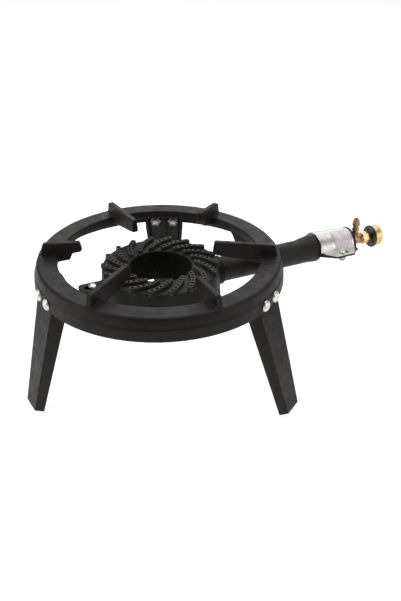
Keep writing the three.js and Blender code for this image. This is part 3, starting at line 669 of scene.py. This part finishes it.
def add_port(points, faces, dark, rim):
    """Fills a rim of top points with a land, a worn edge and a blind port; the edge and the port's walls
    take a painted shade.
    """
    middle = sum((Vector(points[v]) for v in rim), Vector()) / len(rim)
    loops = [rim]
    for radius, depth in ((2.3, 0.0), (2.1, 0.25), (2.05, 4.5)):
        loop = []
        for v in rim:
            out = Vector(points[v]) - middle
            out.z = 0
            out.normalize()
            loop.append(len(points))
            points.append(tuple(middle + out * radius - Vector((0, 0, depth))))
        loops.append(loop)
    for outer, inner in zip(loops, loops[1:]):
        for k in range(len(rim)):
            m = (k + 1) % len(rim)
            if outer is not rim:
                dark.append(len(faces))
            faces.append([outer[k], outer[m], inner[m], inner[k]])
    dark.append(len(faces))
    faces.append(loops[-1])


def rib_mesh(turn, seed):
    """A raised bar with a row of round ports along its top."""
    ends = [(0.055, 0.62), (0.028, 0.9)]
    profile, side = rib_section()
    jitter = random.Random(seed)
    points, faces, grid, dark = [], [], [], []
    for s, width in rib_stations(ends):
        along = (rib_line(s + 0.01) - rib_line(s - 0.01)).normalized()
        across = Vector((-along.y, along.x))
        centre = rib_line(s)
        drop = 0.0 if width == 1.0 else (1 - width) * 2.2
        row = []
        for u, z in profile:
            p = centre + across * u * width
            sunk = drop if z > RIB_HEIGHT / 2 else 0
            grain = jitter.uniform(-RIB_GRAIN, RIB_GRAIN) * (z > 0)
            row.append(len(points))
            points.append((p.x, p.y, DECK + z - sunk + grain))
        grid.append(row)
    n = len(profile)
    first = len(ends)
    j0, j1 = side - 1, side + 3
    for i in range(len(grid) - 1):
        in_cell = first <= i < first + PORTS * CELL_STEPS
        for j in range(n - 1):
            if not (in_cell and j0 <= j < j1):
                faces.append([grid[i][j], grid[i][j + 1], grid[i + 1][j + 1], grid[i + 1][j]])
        faces.append([grid[i][n - 1], grid[i][0], grid[i + 1][0], grid[i + 1][n - 1]])
    faces.append(grid[0])
    faces.append(grid[-1][::-1])
    for cell in range(PORTS):
        i0 = first + cell * CELL_STEPS
        i1 = i0 + CELL_STEPS
        rim = [grid[i][j0] for i in range(i0, i1)] + [grid[i1][j] for j in range(j0, j1)]
        rim += [grid[i][j1] for i in range(i1, i0, -1)] + [grid[i0][j] for j in range(j1, j0, -1)]
        add_port(points, faces, dark, rim)
    place = HEAD @ Matrix.Rotation(math.radians(turn - TUBE_AZIMUTH), 4, "Z")
    rib = mesh_of(points, faces, place, dark)
    # Faces outside the ports take the third finish, the lighter rib iron as painted light.
    for polygon in rib.polygons:
        polygon.material_index = polygon.material_index or 2
    return rib


head_parts = [burner_body()] + [rib_mesh(FIRST_RIB - 360 / RIBS * i, i) for i in range(RIBS)]
# Finishes: the burner's iron, painted shade in the hole and ports, and the lighter rib iron as painted
# light.
piece("burner_casting", welded(*head_parts), [BURNER, PAINTED_SHADE, LIT_RIB_IRON], "stand", "burner_head", 50)

# ------------------------------------------------------------- mixing tube
BAR_LOW, BAR_HIGH = -3.3, 1.2
TUBE_START, TUBE_END, TUBE_R, TUBE_BORE_R = 91.5, 270.0, 21.0, 15.0
BELL_START, BELL_END, BELL_R, BELL_RISE = 257.0, 294.5, 24.2, 2.4
WALL_NEAR, WALL_FAR, WALL_R, JET_HOLE_R = 359.4, 363.5, 27.8, 6.2
SCREW_STATION, SCREW_ACROSS, SCREW_HOLE_R = 327.5, 38.4, 3.3
COVER_AXIS = -1.5


def side_bar(side):
    """One of the two flat bars from the bell to the jet's wall; side is -1 or 1."""
    outline = [(278, 18), (292, 30), (313.5, 45), (349, 45), (WALL_NEAR, 33), (WALL_FAR, 33),
               (WALL_FAR, 23), (BELL_END, 23), (290, 18)]
    return plate([(x, side * u) for x, u in outline][::side], BAR_LOW, BAR_HIGH, TUBE)


def jet_wall():
    """Upright wall that holds the gas jet: an arch above and a shallow keel below."""
    steps = 40
    angles = [math.pi * k / steps for k in range(steps + 1)]
    arch = [(WALL_R * math.cos(a), COVER_AXIS + WALL_R * math.sin(a)) for a in angles]
    outline = arch + [(-WALL_R, BAR_LOW), (-14, -11), (14, -11), (WALL_R, BAR_LOW)]
    upright = Matrix(((0, 0, 1, 0), (1, 0, 0, 0), (0, 1, 0, 0), (0, 0, 0, 1)))
    return plate(outline, WALL_NEAR, WALL_FAR, TUBE @ upright)


def tube_mesh():
    """Tube, flared bell, side bars and wall as one casting, bored and drilled."""
    whole = lofted([(TUBE_START, TUBE_R, 0), (TUBE_END, TUBE_R, 0)], 72, TUBE)
    bell = lofted([(BELL_START, 20.6, 0.3), (262.6, 21.2, 1.2), (268, 21.7, 1.5), (286, BELL_R, BELL_RISE),
                   (BELL_END - 3, BELL_R, BELL_RISE), (BELL_END, 22.8, BELL_RISE)], 72, TUBE)
    for part in (bell, side_bar(-1), side_bar(1), jet_wall()):
        whole = carved(whole, part, operation="UNION")
    throat = lofted([(TUBE_START - 1.5, TUBE_BORE_R, 0), (262, TUBE_BORE_R, 0), (BELL_END, 21.2, BELL_RISE),
                     (BELL_END + 1, 21.2, BELL_RISE)], 64, TUBE)
    jet_hole = lofted([(355, JET_HOLE_R, 0), (368, JET_HOLE_R, 0)], 32, TUBE)
    tools = [throat, jet_hole]
    for side in (-1, 1):
        hole = stadium(SCREW_STATION, SCREW_STATION + 0.01, SCREW_ACROSS * side, SCREW_HOLE_R)
        tools.append(plate(hole, -20, 10, TUBE))
    return cast(carved(whole, *tools), voxel=0.8, smooth=2)


piece("mixing_tube_casting", tube_mesh(), PIPE, "stand", "mixing_tube", 60)


# ------------------------------------------------- arm bolt and set screw
def bolt_shank(radius, length):
    """Profile of a threaded rod from its tip up to the seat at z = 0."""
    return [(r, -z) for r, z in threaded(radius, 0.0, length)]


def hex_bolt(flats, head, radius, length, matrix):
    """Hexagon head above z = 0 and its threaded rod below."""
    sunk = 0.6
    crown = hexagonal(flats, head, 0.0, matrix)
    rod = revolved(bolt_shank(radius, length) + [(radius, sunk), (0.0, sunk)], 36, matrix)
    return carved(crown, rod, operation="UNION")


ARM_BOLT_OUT, ARM_BOLT_SEAT, ARM_BOLT_R, ARM_BOLT_LENGTH = 114.0, 32.7, 3.9, 26.0
ARM_NUT_FLATS, ARM_NUT_HEIGHT, ARM_NUT_BORE = 13.0, 6.5, 4.05
arm_at = radial_frame(TUBE_AZIMUTH) @ Matrix.Translation((-ARM_BOLT_OUT, 0, 0))
button = [(ARM_BOLT_R, 0.0), (6.9, 0.0), (7.0, 0.5), (6.5, 1.6), (5.0, 2.8), (2.6, 3.6), (0.0, 3.8)]
arm_seat = arm_at @ Matrix.Translation((0, 0, -ARM_BOLT_SEAT))
arm_bolt_mesh = revolved(bolt_shank(ARM_BOLT_R, ARM_BOLT_LENGTH) + button, 40, arm_seat)
piece("arm_button_bolt", arm_bolt_mesh, ZINC, "stand", "arm_bolt", 50)
arm_nut_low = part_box("arm_nut")[0][2]
arm_nut_at = Matrix.Translation((0, 0, arm_nut_low - TOP_Z)) @ arm_at
arm_nut_mesh = hexagonal(ARM_NUT_FLATS, ARM_NUT_HEIGHT, ARM_NUT_BORE, arm_nut_at)
piece("arm_hex_nut", arm_nut_mesh, ZINC, "stand", "arm_nut", 25)

SET_SCREW_STATION, SET_SCREW_DROP = 102.5, 25.2
set_at = TUBE @ Matrix.Translation((SET_SCREW_STATION, 0, -SET_SCREW_DROP))
set_screw_mesh = hex_bolt(13, 5.3, 4.0, 3.9, set_at @ Matrix.Rotation(math.pi, 4, "X"))
piece("tube_hex_set_screw", set_screw_mesh, ZINC, "stand", "tube_set_screw", 25)

# ------------------------------------------------------------- air shutter
COVER_START, COVER_END, COVER_BEND = 291.0, 358.6, 292.5
COVER_R, COVER_TAPER = 30.8, 3.5
EAR_START, EAR_END, EAR_TIP = 311.5, 347.0, 46.0
SHEET_MM, EAR_MID, BEND = 1.2, 2.1, 2.2
SLOT_LENGTH, SLOT_R = 8.0, 3.4


def cover_radius(t):
    """Outer radius of the shutter's arch."""
    return COVER_R - COVER_TAPER * (t - COVER_START) / (COVER_END - COVER_START)


def cover_section(t, offset):
    """From the front ear's tip over the arch to the back ear's tip, offset from mid sheet."""
    bend_steps, arch_steps = 6, 24
    radius = cover_radius(t) - SHEET_MM / 2
    half = [(u, EAR_MID + offset) for u in (EAR_TIP, 41.5, radius + BEND)]
    for k in range(1, bend_steps):
        a = math.radians(-90 + 90 * k / bend_steps)
        reach = BEND - offset
        half.append((radius + BEND - reach * math.cos(a), EAR_MID + BEND + reach * math.sin(a)))
    start = math.asin((EAR_MID + BEND - COVER_AXIS) / radius)
    for k in range(arch_steps + 1):
        a = start + (math.pi / 2 - start) * k / arch_steps
        half.append(((radius + offset) * math.cos(a), COVER_AXIS + (radius + offset) * math.sin(a)))
    return [(-u, z) for u, z in half] + [(u, z) for u, z in reversed(half[:-1])]


def bent_sheet():
    """The shutter's sheet before its edges are trimmed, with slight dents over the arch."""
    steps, dent_depth, dent_turn = 22, 0.25, 1.7
    points, faces, loops = [], [], []
    for i in range(steps + 1):
        t = COVER_START + (COVER_END - COVER_START) * i / steps
        dent = dent_depth * math.sin(i * dent_turn) * (0 < i < steps)
        outer = cover_section(t, SHEET_MM / 2)
        inner = cover_section(t, -SHEET_MM / 2)
        loop = []
        for u, z in outer + inner[::-1]:
            loop.append(len(points))
            points.append((t, u, z + (dent * max(0.0, (z - 5) / 30))))
        loops.append(loop)
    n = len(loops[0])
    for low, high in zip(loops, loops[1:]):
        faces += [[low[k], low[(k + 1) % n], high[(k + 1) % n], high[k]] for k in range(n)]
    for loop, flip in ((loops[0], 1), (loops[-1], -1)):
        for k in range(n // 2 - 1):
            faces.append([loop[k], loop[k + 1], loop[n - 2 - k], loop[n - 1 - k]][::flip])
    return mesh_of(points, faces, TUBE)


def shutter_mesh():
    """Bent sheet with a raked front edge, tapered ears and a slot in each ear."""
    lying = Matrix.Rotation(math.pi / 2, 4, "X")
    rake = [(282, -8), (282, 24), (COVER_START, 24), (COVER_BEND, 1), (COVER_BEND, -8)]
    tools = [plate(rake, -60, 60, TUBE @ lying)]
    for side in (-1, 1):
        front = [(280, 20), (COVER_BEND, 27), (EAR_START, EAR_TIP), (EAR_START, 60), (280, 60)]
        rear = [(EAR_END, 60), (EAR_END, EAR_TIP), (COVER_END + 0.1, 30), (366, 30), (366, 60)]
        for outline in (front, rear):
            tools.append(plate([(x, side * u) for x, u in outline], -8, 4.6, TUBE))
        slot = stadium(SCREW_STATION, SCREW_STATION + SLOT_LENGTH, SCREW_ACROSS * side, SLOT_R)
        tools.append(plate(slot, -4, 8, TUBE))
    return carved(bent_sheet(), *tools)


piece("shutter_sheet_metal", shutter_mesh(), SHEET, "shutter", "air_shutter", 30, 0.22, 2)


LABEL_START, LABEL_END, LABEL_TOP, LABEL_SWEEP = 320.5, 354.0, 94, 70


def label_mesh():
    """Thin patch that follows the arch from its crown down towards the front ear."""
    columns, rows = 18, 30
    points, faces = [], []
    for lift in (0.62, 0.3):
        for i in range(columns + 1):
            t = LABEL_START + (LABEL_END - LABEL_START) * i / columns
            for j in range(rows + 1):
                a = math.radians(LABEL_TOP + LABEL_SWEEP * j / rows)
                r = cover_radius(t) + lift
                points.append((t, r * math.cos(a), COVER_AXIS + r * math.sin(a)))
    size = (columns + 1) * (rows + 1)

    def at(layer, i, j):
        return layer * size + i * (rows + 1) + j

    for i in range(columns):
        for j in range(rows):
            faces.append([at(0, i, j), at(0, i + 1, j), at(0, i + 1, j + 1), at(0, i, j + 1)])
            faces.append([at(1, i, j), at(1, i, j + 1), at(1, i + 1, j + 1), at(1, i + 1, j)])
    for i in range(columns):
        for j in (0, rows):
            faces.append([at(0, i, j), at(1, i, j), at(1, i + 1, j), at(0, i + 1, j)])
    for j in range(rows):
        for i in (0, columns):
            faces.append([at(0, i, j), at(0, i, j + 1), at(1, i, j + 1), at(1, i, j)])
    return mesh_of(points, faces, TUBE)


piece("shutter_label", label_mesh(), LABEL, "shutter", "rating_label", 40)

HEAD_SEAT, SHUTTER_SCREW_R, SHUTTER_SCREW_LENGTH = 3.0, 2.9, 12.8
WASHER_R, WASHER_HOLE_R, WASHER_LOW, WASHER_HIGH = 6.2, 3.3, -5.2, -3.6
SMALL_NUT_FLATS, SMALL_NUT_HEIGHT, SMALL_NUT_BORE, SMALL_NUT_LOW = 10.0, 5.0, 3.15, -10.5


def slotted_screw(at):
    """Pan head on the ear with a slot across it, and its threaded rod below."""
    head = [(0, HEAD_SEAT + 3.5), (2.6, HEAD_SEAT + 3.3), (4.6, HEAD_SEAT + 2.5), (5.5, HEAD_SEAT + 1.3),
            (5.6, HEAD_SEAT), (SHUTTER_SCREW_R, HEAD_SEAT)]
    thread = threaded(SHUTTER_SCREW_R, 5.0, SHUTTER_SCREW_LENGTH, 1.0, 0.35)
    rod = [(r, -z) for r, z in thread][::-1]
    turned = at @ Matrix.Rotation(math.radians(35), 4, "Z")
    slot = slab(-8, 8, -0.75, 0.75, HEAD_SEAT + 1.7, HEAD_SEAT + 6, turned)
    return carved(revolved(softened(head + rod, 0.2, 2), 36, at), slot)


for tag, side in (("front", -1), ("back", 1)):
    at = TUBE @ Matrix.Translation((SCREW_STATION, SCREW_ACROSS * side, 0))
    piece(f"shutter_slotted_screw_{tag}", slotted_screw(at), ZINC, "stand",
          f"shutter_screw_{tag}", 30)
    ring = [(WASHER_HOLE_R, WASHER_LOW), (WASHER_R, WASHER_LOW), (WASHER_R, WASHER_HIGH),
            (WASHER_HOLE_R, WASHER_HIGH)]
    washer = revolved(softened(ring, 0.25, 2, closed=True), 40, at)
    piece(f"shutter_flat_washer_{tag}", washer, NUT_ZINC, "stand",
          f"shutter_washer_{tag}", 40)
    nut_at = at @ Matrix.Translation((0, 0, SMALL_NUT_LOW))
    nut = hexagonal(SMALL_NUT_FLATS, SMALL_NUT_HEIGHT, SMALL_NUT_BORE, nut_at, 0.45)
    piece(f"shutter_hex_nut_{tag}", nut, NUT_ZINC, "stand", f"shutter_nut_{tag}", 25)

# ------------------------------------------------------------------- valve
JET_TIP, JET_END, JET_HEX_START, JET_HOLE = 334.0, 369.4, 344.0, 1.1
BARREL_START, BARREL_END, BARREL_R, FLANGE_R = 363.8, 390.0, 8.0, 9.5
BARB_STATION, BARB_R, BARB_WAIST, BARB_END, BARB_BORE_R = 377.6, 6.6, 4.8, 41.4, 2.6
GLAND, GLAND_BORE_R, PACKING_R = 391.0, 3.4, 5.2
GROOVE, SPINDLE_R, SPINDLE_END = GLAND + 6.3, 2.9, 423.0


def stem(profile, segments=48, soft=0.3):
    """Turned piece on the tube's axis from (radius, station) points."""
    return revolved(softened(profile, soft, 2), segments, STEM)


def jet_mesh():
    """Gas jet with a hexagon to turn it by and a fine hole right through."""
    jet = stem([(0, JET_TIP), (2.4, JET_TIP), (4.4, JET_TIP + 3), (5.2, JET_HEX_START), (5.8, 350),
                (5.8, JET_END), (0, JET_END)])
    jet_hex = hexagonal(13, 14.4, 0.0, STEM @ Matrix.Translation((0, 0, JET_HEX_START)))
    hole = [(0, JET_TIP - 4), (JET_HOLE, JET_TIP - 4), (JET_HOLE, 372), (0, 372)]
    return carved(carved(jet, jet_hex, operation="UNION"), stem(hole, 16, 0.05))


piece("gas_jet", jet_mesh(), BRIGHT_BRASS, "stand", "injector", 28)


def elbow_mesh():
    """Barrel on the tube's axis with a barbed hose end that stands up from it."""
    barrel = stem([(0, BARREL_START), (FLANGE_R, BARREL_START), (FLANGE_R, 367.2), (8.1, 368.6),
                   (BARREL_R, 385), (9.0, 386.8), (9.0, BARREL_END), (0, BARREL_END)])
    foot = [(0, 0), (BARB_R, 0), (6.4, 8.5), (5.0, 11.0)]
    teeth = [(BARB_R, 12.2), (6.5, 13.2), (BARB_WAIST, 17.8), (4.7, 19.0),
             (BARB_R, 20.0), (6.5, 21.2), (BARB_WAIST, 25.8), (4.7, 27.4)]
    tip = [(6.7, 29.2), (6.7, 33.4), (5.0, 40.6), (4.6, BARB_END)]
    bore = [(BARB_BORE_R, BARB_END), (BARB_BORE_R, 30.0), (0, 30.0)]
    upright = TUBE @ Matrix.Translation((BARB_STATION, 0, 0))
    barb = revolved(softened(foot + teeth + tip + bore, 0.3, 2), 48, upright)
    return carved(barrel, barb, operation="UNION")


piece("valve_elbow", elbow_mesh(), BRASS, "stand", "valve_body", 28)


def gland_mesh():
    """Hexagon nut with a collar that presses on the packing."""
    nut = hexagonal(19, 12, 0.0, STEM @ Matrix.Translation((0, 0, GLAND)), 0.6)
    collar = stem([(0, GLAND - 5.3), (PACKING_R, GLAND - 5.3), (PACKING_R, GLAND - 0.6), (7.0, GLAND - 0.6),
                   (7.0, GLAND + 1), (0, GLAND + 1)])
    bore = [(0, GLAND - 14), (GLAND_BORE_R, GLAND - 14), (GLAND_BORE_R, GLAND + 16), (0, GLAND + 16)]
    return carved(carved(nut, collar, operation="UNION"), revolved(bore, 32, STEM))


piece("gland_hex_nut", gland_mesh(), BRIGHT_BRASS, "stand", "gland_nut", 25)

packing = [(3.2, GLAND - 7.7), (PACKING_R, GLAND - 7.7), (PACKING_R, GLAND - 5.8), (3.2, GLAND - 5.8)]
packing_mesh = revolved(softened(packing, 0.3, 2, closed=True), 40, STEM)
piece("packing_ring", packing_mesh, SEAL, "stand", "gland_packing", 40)

needle = [(0, 371), (0.6, 371), (SPINDLE_R, 376)]
seal_groove = [(SPINDLE_R, GROOVE - 1.3), (2.1, GROOVE - 1.1), (2.1, GROOVE + 1.1),
               (SPINDLE_R, GROOVE + 1.3)]
spindle = stem(needle + seal_groove + [(SPINDLE_R, SPINDLE_END), (0, SPINDLE_END)], 40, 0.2)
piece("spindle_rod", spindle, BRASS, "knob", "valve_spindle", 30)

SEAL_MID_R, SEAL_WIRE_R = 3.0, 0.6
around = [2 * math.pi * k / 12 for k in range(12)]
seal_ring = [(SEAL_MID_R + SEAL_WIRE_R * math.cos(a), GROOVE + SEAL_WIRE_R * math.sin(a)) for a in around]
seal_mesh = revolved(seal_ring, 40, STEM)
piece("spindle_seal_ring", seal_mesh, SEAL, "spindle_travel", "spindle_seal", 60)

# -------------------------------------------------------------------- knob
KNOB_BACK, CAP_START, CAP_END = 409.6, 413.3, 428.0
HUB_START, HUB_END, HUB_R, HUB_BORE_R = 409.0, 423.8, 6.5, 3.1
PETALS, PETAL_TURN = 4, 40


def knob_core_mesh():
    """Hub and a full disc with a proud rim and four petals, seen from the valve's side."""
    hub_profile = [(HUB_BORE_R, HUB_START), (HUB_R, HUB_START), (HUB_R, HUB_END), (HUB_BORE_R, HUB_END)]
    hub = revolved(softened(hub_profile, 0.6, 3, closed=True), 48, STEM)
    disc = [(5.5, KNOB_BACK + 0.9), (17.4, KNOB_BACK + 0.9), (17.8, KNOB_BACK), (19.4, KNOB_BACK),
            (19.8, KNOB_BACK + 0.8), (19.8, CAP_START - 0.3), (5.5, CAP_START - 0.3)]
    whole = carved(hub, revolved(softened(disc, 0.35, 2, closed=True), 72, STEM), operation="UNION")
    bulge = [(8, 1.6), (10, 2.6), (12, 2.9), (14, 2.4)]
    petal = [(7, 0)] + bulge + [(15.4, 0)] + [(r, -u) for r, u in reversed(bulge)]
    standing = Matrix.Rotation(-math.pi / 2, 4, "Y")
    for i in range(PETALS):
        turn = TUBE @ Matrix.Rotation(math.radians(90 * i + PETAL_TURN), 4, "X")
        raised = plate(petal, -KNOB_BACK - 1.2, -KNOB_BACK + 0.1, turn @ standing)
        whole = carved(whole, raised, operation="UNION")
    return whole


piece("knob_spoked_core", knob_core_mesh(), KNOB_CORE, "knob", "knob_core", 30, 0.2, 2)


CAP_R, FLUTES, FLUTE_STEPS, FLUTE_DEPTH = 18.2, 40, 4, 0.45


def knob_cap_mesh():
    """Fluted cup with a rolled outer edge and a dished face."""
    profile = [(16.4, CAP_START), (17.8, CAP_START), (CAP_R, CAP_START + 0.5), (CAP_R, CAP_END - 3.6),
               (17.9, CAP_END - 1.9), (16.9, CAP_END - 0.6), (15.4, CAP_END - 0.1), (13.6, CAP_END - 0.3),
               (12.8, CAP_END - 0.9), (6.5, CAP_END - 0.9), (5.6, CAP_END - 0.3), (2.4, CAP_END - 0.1),
               (2.0, CAP_END - 0.3), (2.0, CAP_END - 2.4), (16.4, CAP_END - 2.6)]
    profile = softened(profile, 0.5, 2, closed=True)
    fluted_r, fluted_start, fluted_end = CAP_R - 0.9, CAP_START + 1.0, CAP_END - 2.2
    segments = FLUTES * FLUTE_STEPS
    points, faces = [], []
    for i in range(segments):
        a = 2 * math.pi * i / segments
        wave = FLUTE_DEPTH * (0.5 - 0.5 * math.cos(2 * math.pi * i / FLUTE_STEPS))
        for r, x in profile:
            depth = wave if r > fluted_r and fluted_start < x < fluted_end else 0.0
            points.append((x, (r - depth) * math.cos(a), (r - depth) * math.sin(a)))
    n = len(profile)
    for i in range(segments):
        j = (i + 1) % segments
        faces += [[i * n + k, j * n + k, j * n + (k + 1) % n, i * n + (k + 1) % n] for k in range(n)]
    return mesh_of(points, faces, TUBE)


piece("knob_fluted_cap", knob_cap_mesh(), GOLD, "knob", "knob_cap", 35)

FACE_SCREW_START, FACE_SCREW_SEAT, FACE_SCREW_R = 416.2, 428.3, 1.4
face_screw = stem([(0, FACE_SCREW_START), (FACE_SCREW_R, FACE_SCREW_START), (FACE_SCREW_R, FACE_SCREW_SEAT),
                   (3.6, FACE_SCREW_SEAT), (3.4, 429.7), (1.6, 430.4), (0, 430.5)], 36, 0.15)
face_slot = slab(429.4, 433, -5, 5, -0.45, 0.45, TUBE)
piece("knob_slotted_screw", carved(face_screw, face_slot), ZINC, "knob", "knob_screw", 30)

# ------------------------------------------------------ floor, light, camera
FLOOR_HALF = 30.0


def paper_finish():
    """Matt paper that glows a little, so that it stays white between the lights."""
    finish = Finish("floor_paper", (0.4, 0.4, 0.4), 0.9, Emission_Color=(1.0, 1.0, 1.0, 1.0),
                    Emission_Strength=0.84, Specular_IOR_Level=0.1)
    finish.color(finish.ramp(finish.noise(3.0), (0.3, (0.39, 0.39, 0.39)), (0.7, (0.41, 0.41, 0.41))))
    return finish.material


corners = [(-FLOOR_HALF, -FLOOR_HALF, 0), (FLOOR_HALF, -FLOOR_HALF, 0), (FLOOR_HALF, FLOOR_HALF, 0),
           (-FLOOR_HALF, FLOOR_HALF, 0)]
floor = loose(mesh_of(corners, [[0, 1, 2, 3]]), "floor")
floor.data.materials.append(paper_finish())

HORIZON_HEIGHT, SKY_GREY = 0.16, 0.15


def studio_sky():
    """White at the horizon, where it meets the floor, and grey above."""
    sky = bpy.data.worlds.new("studio")
    sky.use_nodes = True
    tree = sky.node_tree
    where = tree.nodes.new("ShaderNodeTexCoord")
    parts = tree.nodes.new("ShaderNodeSeparateXYZ")
    fade = tree.nodes.new("ShaderNodeMapRange")
    fade.inputs["From Max"].default_value = HORIZON_HEIGHT
    fade.inputs["To Min"].default_value = 1.0
    fade.inputs["To Max"].default_value = SKY_GREY
    tree.links.new(where.outputs["Generated"], parts.inputs["Vector"])
    tree.links.new(parts.outputs["Z"], fade.inputs["Value"])
    tree.links.new(fade.outputs["Result"], tree.nodes["Background"].inputs["Color"])
    return sky


bpy.context.scene.world = studio_sky()
bpy.context.scene.view_settings.view_transform = "Standard"


AIM_POINT = Vector((0.0, 0.0, 0.1))


def softbox(name, place, width, height, power):
    """A rectangular lamp that faces the middle of the stand."""
    light = bpy.data.lights.new(name, "AREA")
    light.shape = "RECTANGLE"
    light.size, light.size_y, light.energy = width, height, power
    obj = bpy.data.objects.new(name, light)
    obj.location = place
    obj.rotation_euler = (AIM_POINT - Vector(place)).to_track_quat("-Z", "Y").to_euler()
    bpy.context.scene.collection.objects.link(obj)


softbox("overhead", (0.1, 0.7, 2.2), 2.6, 1.8, 36)
softbox("backlight", (0.0, 2.5, 1.35), 2.8, 1.2, 24)
softbox("left_side", (-1.9, -0.35, 1.0), 1.0, 1.4, 17)
softbox("right_side", (1.9, -0.6, 0.8), 1.0, 1.0, 9)

# The camera looks from the front, 31 degrees above the horizon, at a point to the
# right of the ring's axis and below its flange. Its lens is for a sensor whose
# long side, 36 mm, is the frame's height.
LENS_MM, SENSOR_MM = 49.34336, 36.0
AIM_RIGHT, AIM_DROP, DISTANCE = 0.06626, 0.08622, 1.36153
ELEVATION, ROLL = math.radians(31.02), math.radians(0.334)
camera_data = bpy.data.cameras.new("camera")
camera_data.sensor_width = SENSOR_MM
camera_data.lens = LENS_MM
camera = bpy.data.objects.new("camera", camera_data)
aim = Vector((AXIS_X + AIM_RIGHT, AXIS_Y, TOP_Z - AIM_DROP))
back = Vector((0.0, -math.cos(ELEVATION), math.sin(ELEVATION)))
tilt = Matrix.Rotation(math.pi / 2 - ELEVATION, 4, "X") @ Matrix.Rotation(ROLL, 4, "Z")
camera.matrix_world = Matrix.Translation(aim + back * DISTANCE) @ tilt
bpy.context.scene.collection.objects.link(camera)
bpy.context.scene.camera = camera
